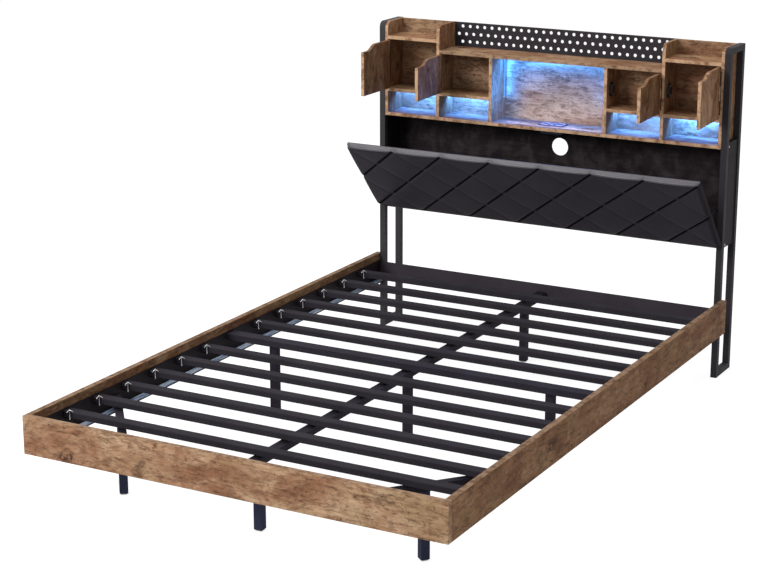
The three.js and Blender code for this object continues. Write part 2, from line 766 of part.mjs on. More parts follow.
// One fixed steel piece: a strip on the floor board with the fixed knuckles and their pin, and at each
// end an upright plate with the pin that a stay slides on
function padHingeGeometry() {
  const halfHinge = padHingeLength / 2;
  const stripZ = floorBoardTopZ + fit - padAxisZ;
  const stripTop = stripZ + hingeStripThickness;
  const boardY = cabinetFrontY - padAxisY;
  const plateX = sidePanelOuterX;
  const plateInnerX = plateX - stayPlateThickness;
  const pinY = stayRadius * Math.sin(stayPinBehind);
  const pinZ = stayRadius * Math.cos(stayPinBehind);
  const plateTop = pinZ + stayPlateAbovePin;
  const pieces = [
    block(-plateX, plateX, boardY, boardY + hingeStripDepth, stripZ, stripTop),
    rodAlongX(padPinRadius, -halfHinge, halfHinge, 0, 0),
  ];
  for (const { moving, low, high } of knuckleSpans(-halfHinge, halfHinge, padKnuckleCount)) {
    if (moving) continue;
    pieces.push(rodAlongX(padKnuckleRadius, low, high, 0, 0));
    pieces.push(block(low, high, -padLeafThickness / 2, padLeafThickness / 2, stripZ, 0));
    pieces.push(block(low, high, -padLeafThickness / 2, boardY + weldDepth, stripZ, stripTop));
  }
  const stayInnerX = plateInnerX - stayGap - stayThickness;
  const headX = stayInnerX - fit;
  const plate = join(
    block(plateInnerX, plateX, boardY, boardY + stayPlateDepth, stripZ, plateTop),
    rodAlongX(stayPinRadius, headX - weldDepth, plateX - weldDepth, pinY, pinZ),
    rodAlongX(stayHeadRadius, headX - stayHeadThickness, headX, pinY, pinZ),
  );
  return join(...pieces, plate, mirrored(plate));
}

// A curved flat bar round the hinge axis, with a curved slot; angles run back from straight up
function arcBand(innerRadius, outerRadius, fromAngle, toAngle) {
  const outline = new THREE.Shape();
  outline.absarc(0, 0, outerRadius, Math.PI / 2 - fromAngle, Math.PI / 2 - toAngle, true);
  outline.absarc(0, 0, innerRadius, Math.PI / 2 - toAngle, Math.PI / 2 - fromAngle, false);
  return outline;
}

function stayGeometry() {
  const outerX = sidePanelOuterX - stayPlateThickness - stayGap;
  const innerX = outerX - stayThickness;
  const slotHalf = stayPinRadius + staySlotPlay;
  const endPlay = slotHalf / stayRadius;
  const slotStart = stayPinBehind - endPlay;
  const slotEnd = stayPinBehind + padOpenAngle + endPlay;
  const rootAngle = (padLeafThickness + fit) / stayRadius;
  const innerRadius = stayRadius - stayWidth / 2;
  const outerRadius = stayRadius + stayWidth / 2;
  const band = arcBand(innerRadius, outerRadius, rootAngle, slotEnd + stayTailAngle);
  const slot = arcBand(stayRadius - slotHalf, stayRadius + slotHalf, slotStart, slotEnd);
  const bar = extrudeAlongX(band, innerX, outerX, staySteps);
  const slotTool = extrudeAlongX(slot, innerX - overrun, outerX + overrun, staySteps);
  const tabZ = stayRadius - stayTabHeight / 2;
  const tabY = fit + stayThickness;
  const tab = block(outerX - stayTabWidth, outerX, fit, tabY, tabZ, tabZ + stayTabHeight);
  return join(cut(bar, slotTool), tab);
}

// Height of the quilt's surface over the board, at a place given from its lower left corner
function quiltHeight(x, z) {
  const across = (x / padWidth) * diamondsAcross;
  const up = (z / padHeight) * diamondsHigh;
  const puff = Math.abs(Math.sin(Math.PI * (across + up)) * Math.sin(Math.PI * (across - up)));
  const surface = quiltChannel + (quiltCrown - quiltChannel) * puff ** quiltPuffPower;
  const edge = Math.min(x, padWidth - x, z, padHeight - z, quiltRollRadius) / quiltRollRadius;
  const roll = Math.sqrt(Math.max(0, 1 - (1 - edge) ** 2));
  return quiltSide + (surface - quiltSide) * roll;
}

// How far the rim is drawn in where a channel runs over it
function quiltDrawnIn(x, z) {
  const across = Math.abs(Math.sin((Math.PI * x * diamondsAcross) / padWidth));
  const up = Math.abs(Math.sin((Math.PI * z * diamondsHigh) / padHeight));
  const nearX = Math.max(0, 1 - Math.min(x, padWidth - x) / quiltRollRadius);
  const nearZ = Math.max(0, 1 - Math.min(z, padHeight - z) / quiltRollRadius);
  const pullX = quiltNotchDepth * nearX * (1 - up ** quiltPuffPower) * Math.sign(padWidth / 2 - x);
  const pullZ = quiltNotchDepth * nearZ * (1 - across ** quiltPuffPower) * Math.sign(padHeight / 2 - z);
  return { pullX, pullZ };
}

// Grid lines of the quilt along one side: even steps, with extra lines close to both rims
function quiltLines(length, diamonds) {
  const steps = diamonds * stepsPerDiamond;
  const rim = quiltRimStepShares.map((share) => share * quiltRollRadius);
  const inner = [];
  for (let step = 1; step < steps; step += 1) {
    inner.push((step / steps) * length);
  }
  const far = rim.map((distance) => length - distance).reverse();
  return [0, ...rim, ...inner, ...far, length];
}

function cushionGeometry() {
  const linesX = quiltLines(padWidth, diamondsAcross);
  const linesZ = quiltLines(padHeight, diamondsHigh);
  const stepX = padWidth / (diamondsAcross * stepsPerDiamond);
  const stepZ = padHeight / (diamondsHigh * stepsPerDiamond);
  const columns = linesX.length;
  const rows = linesZ.length;
  const backY = -padBoardThickness - fit;
  const positions = [];
  const place = (x, z, height) => {
    const { pullX, pullZ } = quiltDrawnIn(x, z);
    positions.push(x + pullX - padWidth / 2, backY - height, padBottomGap + z + pullZ);
  };
  for (const z of linesZ) {
    for (const x of linesX) {
      place(x, z, quiltHeight(x, z));
    }
  }
  const front = (column, row) => row * columns + column;
  const corners = [];
  for (let row = 0; row < rows - 1; row += 1) {
    for (let column = 0; column < columns - 1; column += 1) {
      const low = front(column, row);
      const right = front(column + 1, row);
      const up = front(column, row + 1);
      const upRight = front(column + 1, row + 1);
      const cellX = Math.floor((linesX[column] + linesX[column + 1]) / 2 / stepX);
      const cellZ = Math.floor((linesZ[row] + linesZ[row + 1]) / 2 / stepZ);
      const fallsHere = (cellX + cellZ + 1) % stepsPerDiamond === 0;
      if (fallsHere) {
        corners.push(low, right, up, right, upRight, up);
      } else {
        corners.push(low, right, upRight, low, upRight, up);
      }
    }
  }
  const rim = [];
  for (let column = 0; column < columns - 1; column += 1) rim.push([column, 0]);
  for (let row = 0; row < rows - 1; row += 1) rim.push([columns - 1, row]);
  for (let column = columns - 1; column > 0; column -= 1) rim.push([column, rows - 1]);
  for (let row = rows - 1; row > 0; row -= 1) rim.push([0, row]);
  const firstBack = positions.length / 3;
  for (const [column, row] of rim) {
    place(linesX[column], linesZ[row], 0);
  }
  const backMiddle = positions.length / 3;
  positions.push(0, backY, padBottomGap + padHeight / 2);
  rim.forEach(([column, row], number) => {
    const [nextColumn, nextRow] = rim[(number + 1) % rim.length];
    const here = front(column, row);
    const next = front(nextColumn, nextRow);
    const backHere = firstBack + number;
    const backNext = firstBack + ((number + 1) % rim.length);
    corners.push(here, backHere, backNext, here, backNext, next);
    corners.push(backHere, backMiddle, backNext);
  });
  const geometry = new THREE.BufferGeometry();
  geometry.setAttribute('position', new THREE.Float32BufferAttribute(positions, 3));
  geometry.setIndex(corners);
  const middleZ = padBottomGap + padHeight / 2;
  const plan = roundedRectangle(padWidth, padHeight, quiltCornerRadius, 0, middleZ);
  const frontY = backY - quiltCrown - overrun;
  return common(geometry, extrudeAlongY(plan, frontY, backY + overrun, slatSegments));
}

function addPaddedPanel() {
  const hinge = new THREE.Group();
  hinge.position.set(0, padAxisY, padAxisZ);
  bed.add(hinge);
  addPiece(hinge, 'panel_hinge', padHingeGeometry(), hingeSteel);
  const swing = new THREE.Group();
  swing.rotation.x = padOpenAngle;
  hinge.add(swing);
  addPiece(swing, 'tilt_board', tiltBoardGeometry(), blackLeather);
  addPiece(swing, 'quilted_cushion', cushionGeometry(), blackLeather);
  const stay = stayGeometry();
  for (const [word, side] of sides) {
    addPiece(swing, `stay_${word}`, onSide(side, stay), hingeSteel);
  }
}

// One tape along the ceilings of the lit spaces, and up and over the middle one
function addLightStrip() {
  const endX = sidePanelInnerX - fit;
  const wallX = centreBayX - fit;
  const wallInnerX = wallX - stripThickness;
  const topZ = topBoardUndersideZ - fit;
  const halfRoute = [
    [wallInnerX, topZ - stripThickness],
    [wallInnerX, stripUndersideZ],
    [endX, stripUndersideZ],
    [endX, stripTopZ],
    [wallX, stripTopZ],
    [wallX, topZ],
  ];
  const otherHalf = halfRoute.map(([x, z]) => [-x, z]).reverse();
  const route = [...halfRoute, ...otherHalf].map(([x, z]) => new THREE.Vector2(x, z));
  const strip = extrudeAlongY(new THREE.Shape(route), stripFrontY, stripRearY);
  addPiece(bed, 'led_strip', strip, lightTape);
}

// Outlet let into the main shelf: two mains sockets, two charging ports, and a cable inlet at the back
function socketTools(x, topZ) {
  const floorZ = topZ - socketSlotDepth;
  const half = socketSlotWidth / 2;
  const slots = [-1, 1].map((side) => {
    const slotX = x + (side * socketSlotGap) / 2;
    const slotY = outletY + socketSlotLength / 2;
    return block(slotX - half, slotX + half, outletY - socketSlotLength / 2, slotY, floorZ, topZ + overrun);
  });
  const earth = rodAlongZ(socketEarthRadius, x, outletY - socketEarthBelow, floorZ, topZ + overrun);
  return [...slots, earth];
}

function addOutlet() {
  const flangeZ = mainShelfTopZ + fit;
  const topZ = flangeZ + outletFlange;
  const halfX = outletWidth / 2;
  const halfY = outletDepth / 2;
  const bodyX = halfX - outletBodyInset;
  const bodyY = halfY - outletBodyInset;
  const body = join(
    block(-halfX, halfX, outletY - halfY, outletY + halfY, flangeZ, topZ),
    block(-bodyX, bodyX, outletY - bodyY, outletY + bodyY, topZ - outletBodyHeight, flangeZ + weldDepth),
  );
  const ports = [-1, 1].map((side) => {
    const y = outletY + (side * usbPitch) / 2;
    const low = topZ - socketSlotDepth;
    return block(-usbHeight / 2, usbHeight / 2, y - usbWidth / 2, y + usbWidth / 2, low, topZ + overrun);
  });
  const inletZ = topZ - outletBodyHeight / 2 - panelThickness / 2;
  const inletY = outletY + bodyY;
  const inlet = rodAlongY(inletRadius, 0, inletY - inletDepth, inletY + overrun, inletZ);
  const tools = [...socketTools(-socketPitch, topZ), ...socketTools(socketPitch, topZ), ...ports, inlet];
  addPiece(bed, 'power_outlet', cut(body, ...tools), blackPlastic);
}

addBaseBoards();
addRails();
addSlats();
addBeams();
addCornerLegs();
addSideFrames();
addStorage();
addUpperBack();
addShelves();
addDividers();
addGuard();
addDoors();
addPaddedPanel();
addLightStrip();
addOutlet();

export default bed;
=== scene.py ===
import math

import bpy
import numpy as np
from mathutils import Matrix, Vector


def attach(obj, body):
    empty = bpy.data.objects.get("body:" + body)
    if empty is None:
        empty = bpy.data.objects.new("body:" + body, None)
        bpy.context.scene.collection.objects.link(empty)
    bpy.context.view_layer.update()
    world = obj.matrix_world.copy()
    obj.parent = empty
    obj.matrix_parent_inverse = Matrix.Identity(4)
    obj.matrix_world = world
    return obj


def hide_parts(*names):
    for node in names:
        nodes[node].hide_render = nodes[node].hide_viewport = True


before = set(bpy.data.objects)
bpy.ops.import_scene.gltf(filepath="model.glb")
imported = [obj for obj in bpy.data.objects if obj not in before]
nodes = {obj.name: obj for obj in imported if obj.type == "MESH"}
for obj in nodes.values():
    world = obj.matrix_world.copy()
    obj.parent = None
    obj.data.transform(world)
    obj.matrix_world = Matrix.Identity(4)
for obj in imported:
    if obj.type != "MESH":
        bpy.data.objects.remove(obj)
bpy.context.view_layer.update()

# Lengths are in metres. Y is given from the foot board's outer face, and foot_y() turns it into the frame.
FOOT_FACE_Y = -1.1585
# Slack where two places are compared
TOUCH = 0.0001
TINY = 1e-9


def foot_y(y):
    return FOOT_FACE_Y + y


# Camera, as fitted to the photo
CAMERA_AZIMUTH = math.radians(28.874)
CAMERA_ELEVATION = math.radians(15.887)
CAMERA_ROLL = math.radians(-0.0458)
CAMERA_DISTANCE = 6.3781
CAMERA_TARGET = Vector((-0.0294, -0.1630, 0.5336))
CAMERA_LENS = 92.94
CAMERA_SENSOR = 36.0
CAMERA_CLIP = (0.1, 200.0)

# Surroundings and floor
WORLD_LEVEL = 0.42
FLOOR_SIZE = 120.0
FLOOR_GLOW = 0.85
FLOOR_SEEN = 0.33
FLOOR_BOUNCE = 0.8

# Levels and places of the headboard
SIDE_PANEL_X = 0.6604
INNER_DIVIDER_X = 0.223
INNER_DIVIDER_OUTER_X = 0.235
TALL_DIVIDER_X = 0.4417
TALL_DIVIDER_OUTER_X = 0.4537
LIT_CEILING = 0.935
TOP_BOARD_UNDERSIDE = 1.0936

# Padded panel, measured from its hinge axis while shut
PAD_AXIS = Vector((0.0, foot_y(2.1685), 0.5005))
PAD_OPEN_ANGLE = math.radians(42)
PAD_WIDTH = 1.384
PAD_HEIGHT = 0.3695
PAD_BOTTOM_GAP = 0.0035
PAD_BOARD = 0.009
COVER_GAP = 0.0003

# Quilting: the grid, the diamonds' form and the sewn channels
DIAMONDS_ACROSS = 7
DIAMONDS_HIGH = 2
STEPS_ACROSS = 40
STEPS_HIGH = 56
ROLL_STEPS = 9
QUILT_CROWN = 0.016
QUILT_CHANNEL = 0.009
QUILT_SIDE = 0.006
QUILT_ROLL = 0.013
QUILT_NOTCH = 0.004
QUILT_CORNER = 0.004
NOTCH_SPREAD_HIGH = 0.11
NOTCH_SPREAD_ACROSS = 0.13
RISING_POWER = 0.3
FALLING_POWER = 0.09
SEAM_WIDTH = 0.0042
SEAM_DEPTH = 0.0045
FAINT_WIDTH = 0.0018
FAINT_DEPTH = 0.0003
CROSSING_WIDTH = 0.0065
CROSSING_RISE = 0.0050
RIPPLE_PITCH = 0.013
RIPPLE_REACH = 0.010
RIPPLE_HEIGHT = 0.0007
RIPPLE_DRIFT = 2
RIPPLE_DRIFT_PACE = 9
# Painted shading on the cover: how much darker the seams, the faint channels, the left and right faces and the turned
# edge are, less at the crossings
SEAM_PAINTED_SHADING = 1.1
FAINT_PAINTED_SHADING = 0.06
SIDE_PAINTED_SHADING = 0.5
TURNED_PAINTED_SHADING = 0.75

# The cover's turned edge, ring by ring: how far outward of the grid's rim, and the depth
COVER_RINGS = (
    (0.0005, -PAD_BOARD), (0.0006, -PAD_BOARD / 2), (0.0006, -0.0003), (0.0, 0.0007),
    (-0.004, 0.0009), (-0.015, 0.0009), (-0.016, 0.0003), (-0.016, -PAD_BOARD / 2),
)
COVER_CORNER = 0.03
HINGE_SIDE_COVER = 0.0002
# The upper rim's faces, within RIM_WIDTH of the top and facing up past RIM_SLOPE, take the glossier rim leather, whose
# lighter colour is a painted highlight
RIM_WIDTH = 0.006
RIM_SLOPE = 0.3

# Slats and their clips
SLATS_PER_HALF = 6
FIRST_SLATS = (0.1826, 1.2572)
SLAT_PITCH = 0.150
SLAT_TOP = 0.261
SLAT_HALF_WIDTH = 0.019
CLIP_PLACES_X = (-0.664, 0.678)
CLIP_OFF_SLAT = 0.0034
HEAD_STEPS = 14
SHANK_STEPS = 12
CLIP_HEAD = ((0, 0.006), (0.0036, 0.006), (0.0038, 0.0082), (0.0028, 0.0092), (0, 0.0096))
CLIP_SHANK = ((0, -0.0235), (0.0015, -0.0235), (0.002, -0.0225), (0.002, 0.004), (0.0015, 0.0065), (0, 0.0065))
WING_TURNS = (20, 140, 260)
WING_STEPS = 8
WING_BASE = 0.001
WING_REACH = 0.0125
WING_ARCH = 0.0058
WING_THICKNESS = 0.0013
WING_HALF_WIDTH = 0.0024

# Catches, panel screws and the rings on the power outlet
CATCHES = {
    3: (INNER_DIVIDER_OUTER_X, 1.012), 4: (TALL_DIVIDER_OUTER_X, 1.026),
    2: (-INNER_DIVIDER_OUTER_X, 1.012), 1: (-TALL_DIVIDER_OUTER_X, 1.026),
}
CATCH_Y = 2.2100
CATCH_LENGTH = 0.052
CATCH_WIDTH = 0.036
CATCH_DEPTH = 0.010
CATCH_BASE = CATCH_DEPTH * 0.55
CATCH_ROUND = 0.016
CATCH_STEP = 0.003
CATCH_BEVEL = 0.0012
CATCH_SCREWS = (-0.017, 0.017)
CATCH_SCREW_RADIUS = 0.003
PANEL_SCREW_X = 0.6907
PANEL_SCREWS = ((2.2020, 0.847), (2.2060, 0.489))
PANEL_SCREW_RADIUS = 0.0045
OUTLET_Y = 2.2400
OUTLET_TOP = 0.8568
OUTLET_RINGS = ((-0.030, 0.0125), (0.030, 0.0125), (0, 0.0058))
OUTLET_RING_HALF_HEIGHT = 0.019
OUTLET_RING_ROUND = 0.004
OUTLET_RING_WIDTH = 0.0018
OUTLET_RING_RISE = 0.0008

# Limits of the faces that get a further material
DOOR_AXIS_Y = 2.1692
DOOR_LEAF_END = 0.0033
LEG_FACES_TOP = 0.18
FOOT_LEGS_END = 0.6
GLIDE_TOP = 0.0039
RAIL_FLANGE_TOP = 0.194
TAPE_HEIGHT = 0.012


def colour(red, green, blue):
    """A node colour from one as a screen shows it, 0 to 255."""
    def linear(level):
        share = level / 255
        return share / 12.92 if share <= 0.04045 else ((share + 0.055) / 1.055) ** 2.4
    return (linear(red), linear(green), linear(blue), 1.0)


def scaled_colour(base, share):
    return colour(*[level * share for level in base])


def looked_at(node_tree):
    """1 for what the camera sees straight, through glass or in a mirror, and 0 for light that bounces."""
    path = node_tree.nodes.new("ShaderNodeLightPath")
    seen = path.outputs["Is Camera Ray"]
    for kind in ("Is Transmission Ray", "Is Glossy Ray"):
        larger = node_tree.nodes.new("ShaderNodeMath")
        larger.operation = "MAXIMUM"
        node_tree.links.new(seen, larger.inputs[0])
        node_tree.links.new(path.outputs[kind], larger.inputs[1])
        seen = larger.outputs[0]
    return seen


def joined_shaders(node_tree, kind, *sources):
    """A shader node of that kind, fed with the sources in order."""
    made = node_tree.nodes.new(kind)
    for source, socket in zip(sources, made.inputs):
        node_tree.links.new(source, socket)
    return made.outputs[0]


class Tree:
    """Adds nodes to one new material and links them."""

    def __init__(self, name):
        self.material = bpy.data.materials.new(name)
        self.material.use_nodes = True
        self.node_tree = self.material.node_tree
        self.nodes = self.node_tree.nodes
        self.links = self.node_tree.links
        self.nodes.clear()
        self.shader = self.add("ShaderNodeBsdfPrincipled")
        self.output = self.add("ShaderNodeOutputMaterial")
        self.links.new(self.shader.outputs[0], self.output.inputs["Surface"])
        self.coordinates = self.add("ShaderNodeTexCoord")
        self.place = self.coordinates.outputs["Object"]

    def add(self, kind, **settings):
        made = self.nodes.new(kind)
        for key, value in settings.items():
            setattr(made, key, value)
        return made

    def feed(self, socket, value):
        if isinstance(value, bpy.types.NodeSocket):
            self.links.new(value, socket)
        else:
            socket.default_value = value

    def stretched(self, scale, shift=(0, 0, 0)):
        mapping = self.add("ShaderNodeMapping")
        self.feed(mapping.inputs["Vector"], self.place)
        mapping.inputs["Location"].default_value = shift
        mapping.inputs["Scale"].default_value = scale
        return mapping.outputs["Vector"]

    def noise(self, vector, scale, detail=4.0, roughness=0.55, distortion=0.0):
        made = self.add("ShaderNodeTexNoise")
        self.feed(made.inputs["Vector"], vector)
        made.inputs["Scale"].default_value = scale
        made.inputs["Detail"].default_value = detail
        made.inputs["Roughness"].default_value = roughness
        made.inputs["Distortion"].default_value = distortion
        return made.outputs[0]

    def cells(self, vector, scale, randomness=1.0):
        made = self.add("ShaderNodeTexVoronoi")
        self.feed(made.inputs["Vector"], vector)
        made.inputs["Scale"].default_value = scale
        made.inputs["Randomness"].default_value = randomness
        return made.outputs["Distance"]

    def ramp(self, factor, stops):
        made = self.add("ShaderNodeValToRGB")
        self.feed(made.inputs[0], factor)
        elements = made.color_ramp.elements
        while len(elements) < len(stops):
            elements.new(0.5)
        for element, (position, value) in zip(elements, stops):
            element.position = position
            element.color = value if isinstance(value, tuple) else (value, value, value, 1.0)
        return made.outputs[0]

    def mix(self, factor, first, second, blend="MIX"):
        made = self.add("ShaderNodeMix", data_type="RGBA", blend_type=blend)
        self.feed(made.inputs[0], factor)
        self.feed(made.inputs[6], first)
        self.feed(made.inputs[7], second)
        return made.outputs[2]

    def shaded(self, tone, painted_shading):
        """The tone times a painted shading: one number, or one each for red, green and blue."""
        if not isinstance(painted_shading, tuple):
            painted_shading = (painted_shading, painted_shading, painted_shading)
        return self.mix(1.0, tone, (*painted_shading, 1.0), "MULTIPLY")

    def marked(self, tone, pattern, stops, mark):
        """The tone with a mark over it, as strong as the stops say for each level of the pattern."""
        return self.mix(self.ramp(pattern, stops), tone, mark)

    def compute(self, operation, first, second=0.0):
        made = self.add("ShaderNodeMath", operation=operation)
        self.feed(made.inputs[0], first)
        self.feed(made.inputs[1], second)
        return made.outputs[0]

    def part(self, vector, axis):
        made = self.add("ShaderNodeSeparateXYZ")
        self.feed(made.inputs[0], vector)
        return made.outputs[axis]

    def normal_part(self, axis):
        return self.part(self.coordinates.outputs["Normal"], axis)

    def bump(self, height, strength, distance):
        made = self.add("ShaderNodeBump")
        self.feed(made.inputs["Height"], height)
        made.inputs["Strength"].default_value = strength
        made.inputs["Distance"].default_value = distance
        self.links.new(made.outputs[0], self.shader.inputs["Normal"])

    def set(self, **values):
        names = {"base": "Base Color", "rough": "Roughness", "metal": "Metallic", "gloss": "Specular IOR Level",
                 "glow": "Emission Color", "glow_level": "Emission Strength"}
        for key, value in values.items():
            self.feed(self.shader.inputs[names[key]], value)


# Materials

WOOD_DEEP = colour(104, 70, 50)
WOOD_DARK = colour(88, 58, 42)
WOOD_MIDDLE = colour(164, 125, 95)
WOOD_PALE = colour(192, 158, 126)
WOOD_RED = colour(140, 98, 72)
WOOD_OCHRE = colour(168, 140, 104)
WOOD_KNOT = colour(56, 37, 29)
WOOD_EDGE = colour(206, 169, 136)
WOOD_EDGE_WORN = colour(122, 86, 62)
EDGE_COVER = 0.85
ALONG_AXIS = 0.9


def grain_scale(grain, along):
    """A stretch along the grain's axis alone."""
    scale = [1.0, 1.0, 1.0]
    scale["XYZ".index(grain)] = along
    return tuple(scale)


def knot_pattern(tree, grain, shift):
    """Ringed knots in a few chosen regions."""
    bent = tree.mix(0.06, tree.stretched(grain_scale(grain, 0.42), shift), tree.noise(tree.place, 60, 3))
    chosen = tree.ramp(tree.noise(tree.stretched((1, 1, 1), shift), 4.5, 1), [(0.46, 0.0), (0.52, 1.0)])
    ring = tree.ramp(tree.cells(bent, 9.5), [(0.04, 1.0), (0.11, 0.6), (0.18, 0.0)])
    return tree.compute("MULTIPLY", ring, chosen)


def worn_edge(tree, shift, painted_edge_shading):
    """The pale edge band of a board, worn brown in places, times the board's painted edge shading."""
    wear = tree.noise(tree.stretched((1, 1, 1), shift), 34, 5, 0.7)
    return tree.shaded(tree.marked(WOOD_EDGE, wear, [(0.38, 0.9), (0.54, 0.0)], WOOD_EDGE_WORN), painted_edge_shading)


def rustic_wood(name, grain, seed, painted_shading=(1.0, 1.0, 1.0), edge_axis=None, painted_edge_shading=1.0):
    """Printed rustic wood: tan, red and ochre patches, ragged dark blotches, short dashes, streaks and knots."""
    tree = Tree(name)
    shift = (seed * 1.7, seed * 2.3, seed * 3.1)

    def figure(scale, along, detail, roughness, distortion=0.0):
        return tree.noise(tree.stretched(grain_scale(grain, along), shift), scale, detail, roughness, distortion)

    patches = figure(10, 0.5, 5, 0.7, 0.8)
    mottle = figure(60, 0.34, 7, 0.76, 0.8)
    blotch = figure(17, 0.55, 9, 0.82, 1.0)
    streak = figure(150, 0.05, 5, 0.65)
    dashes = figure(105, 0.26, 3, 0.6)
    specks = figure(150, 0.6, 2, 0.5)
    tone = tree.ramp(patches, [(0.36, WOOD_RED), (0.49, WOOD_MIDDLE), (0.62, WOOD_PALE)])
    tone = tree.marked(tone, figure(5, 0.5, 3, 0.6), [(0.5, 0.0), (0.66, 0.6)], WOOD_OCHRE)
    tone = tree.marked(tone, mottle, [(0.48, 0.0), (0.62, 0.66)], WOOD_DEEP)
    tone = tree.marked(tone, mottle, [(0.3, 0.3), (0.42, 0.0)], WOOD_PALE)
    tone = tree.marked(tone, blotch, [(0.53, 0.0), (0.63, 0.66)], WOOD_DARK)
    tone = tree.mix(1.0, tone, tree.ramp(streak, [(0.34, 0.78), (0.56, 1.0)]), "MULTIPLY")
    tone = tree.mix(knot_pattern(tree, grain, shift), tone, WOOD_KNOT)
    tone = tree.marked(tone, dashes, [(0.57, 0.0), (0.67, 0.52)], WOOD_KNOT)
    tone = tree.marked(tone, specks, [(0.64, 0.0), (0.7, 0.6)], WOOD_KNOT)
    # Painted shading: the board's whole colour is made darker or lighter, and tinted, for how light falls on it
    tone = tree.shaded(tone, painted_shading)
    if edge_axis is not None:
        on_edge = tree.compute("GREATER_THAN", tree.compute("ABSOLUTE", tree.normal_part(edge_axis)), ALONG_AXIS)
        tone = tree.mix(tree.compute("MULTIPLY", on_edge, EDGE_COVER), tone, worn_edge(tree, shift, painted_edge_shading))
    tree.set(base=tone, rough=tree.ramp(streak, [(0.3, 0.68), (0.7, 0.56)]), gloss=0.07)
    tree.bump(streak, 0.25, 0.0006)
    return tree.material


def black_wood(name, grain, seed, patches=0.42, painted_shading=1.0):
    """Black printed wood with a faint grey grain and soft lighter patches."""
    tree = Tree(name)
    shift = (seed * 1.3, seed * 2.9, seed * 0.7)
    cloud = tree.noise(tree.stretched(grain_scale(grain, 0.4), shift), 9, 5, 0.65, 0.8)
    streak = tree.noise(tree.stretched(grain_scale(grain, 0.06), shift), 120, 5, 0.65)
    patch = tree.noise(tree.stretched(grain_scale("Z", 0.8), shift), 22, 4, 0.6, 0.3)
    tone = tree.ramp(cloud, [(0.38, colour(28, 23, 25)), (0.60, colour(42, 36, 38)), (0.74, colour(56, 49, 50))])
    tone = tree.marked(tone, patch, [(0.44, 0.0), (0.70, patches)], colour(88, 78, 78))
    tone = tree.mix(0.6, tone, tree.ramp(streak, [(0.35, 0.5), (0.65, 1.0)]), "MULTIPLY")
    # Painted shading: the board's colour is made darker or lighter for how light falls on it
    tree.set(base=tree.shaded(tone, painted_shading), rough=0.62, gloss=0.08)
    tree.bump(streak, 0.25, 0.0005)
    return tree.material


def paint_cloud(tree):
    return tree.noise(tree.place, 7, 3, 0.6)


def paint_peel(tree):
    """The fine orange-peel skin of powder coating."""
    tree.bump(tree.noise(tree.place, 900, 2, 0.5), 0.18, 0.0003)


def coated_steel(name, base=(51, 48, 52), rough=0.58):
    """Powder-coated steel: dark paint with a slightly worn, uneven gloss."""
    tree = Tree(name)
    cloud = paint_cloud(tree)
    tone = tree.mix(cloud, scaled_colour(base, 0.82), scaled_colour(base, 1.14))
    tree.set(base=tone, rough=tree.ramp(cloud, [(0.3, rough + 0.05), (0.7, rough - 0.05)]), gloss=0.07)
    paint_peel(tree)
    return tree.material


def rail_steel(name):
    """The rails' paint, with a painted bluish highlight on the flat flange's upward faces under the slats."""
    tree = Tree(name)
    tone = tree.mix(paint_cloud(tree), colour(23, 19, 21), colour(36, 31, 35))
    # Painted highlight: upward faces below RAIL_FLANGE_TOP take a streaked bluish colour in place of the paint
    upward = tree.compute("GREATER_THAN", tree.normal_part(2), ALONG_AXIS)
    low = tree.compute("LESS_THAN", tree.part(tree.place, 2), RAIL_FLANGE_TOP)
    shine = tree.noise(tree.stretched((6, 1, 1)), 14, 4, 0.6)
    blue = tree.ramp(shine, [(0.35, colour(104, 128, 166)), (0.62, colour(206, 218, 232))])
    tree.set(base=tree.mix(tree.compute("MULTIPLY", upward, low), tone, blue), rough=0.6, gloss=0.07)
    paint_peel(tree)
    return tree.material


def bright_steel(name, base, rough):
    """Zinc-plated steel with fine brushing."""
    tree = Tree(name)
    brushed = tree.noise(tree.stretched((1, 1, 0.1)), 800, 3, 0.6)
    spots = tree.noise(tree.place, 60, 3)
    tone = tree.mix(spots, scaled_colour(base, 0.85), colour(*base))
    tree.set(base=tone, metal=0.9, rough=tree.ramp(brushed, [(0.3, rough - 0.06), (0.7, rough + 0.1)]))
    tree.bump(brushed, 0.1, 0.0002)
    return tree.material


def leather(name, gloss=0.02, painted_highlight_lift=0):
    """Black grained artificial leather, duller in the sewn channels, with painted shading there and on the cushion's
    left and right faces.
    """
    tree = Tree(name)
    pebbles = tree.cells(tree.place, 620)
    folds = tree.noise(tree.place, 90, 5, 0.6, 0.4)
    cloud = tree.noise(tree.place, 6, 3, 0.6)
    # The added level lightens the colour as a painted highlight, which the upper rim's leather uses
    tone = tree.mix(cloud, colour(41 + painted_highlight_lift, 38 + painted_highlight_lift, 43 + painted_highlight_lift), colour(57 + painted_highlight_lift, 53 + painted_highlight_lift, 60 + painted_highlight_lift))
    # Painted shading: a per-vertex value mixes the colour towards near black in the channels and on the side faces
    painted_quilt_shading = tree.add("ShaderNodeAttribute", attribute_name="painted_quilt_shading").outputs["Fac"]
    tone_with_painted_shading = tree.mix(painted_quilt_shading, tone, colour(9, 8, 9))
    grain = tree.compute("ADD", tree.compute("MULTIPLY", pebbles, 0.6), tree.compute("MULTIPLY", folds, 1.6))
    tree.set(base=tone_with_painted_shading, rough=tree.ramp(painted_quilt_shading, [(0.0, 0.36), (1.0, 0.9)]), gloss=gloss)
    tree.bump(grain, 0.22, 0.0005)
    return tree.material


def moulded_plastic(name, base, rough):
    """Moulded plastic with a fine spark-eroded texture."""
    tree = Tree(name)
    fine = tree.noise(tree.place, 1400, 2, 0.5)
    cloud = tree.noise(tree.place, 25, 2)
    tree.set(base=tree.mix(cloud, scaled_colour(base, 0.85), scaled_colour(base, 1.15)), rough=rough, gloss=0.45)
    tree.bump(fine, 0.15, 0.0002)
    return tree.material


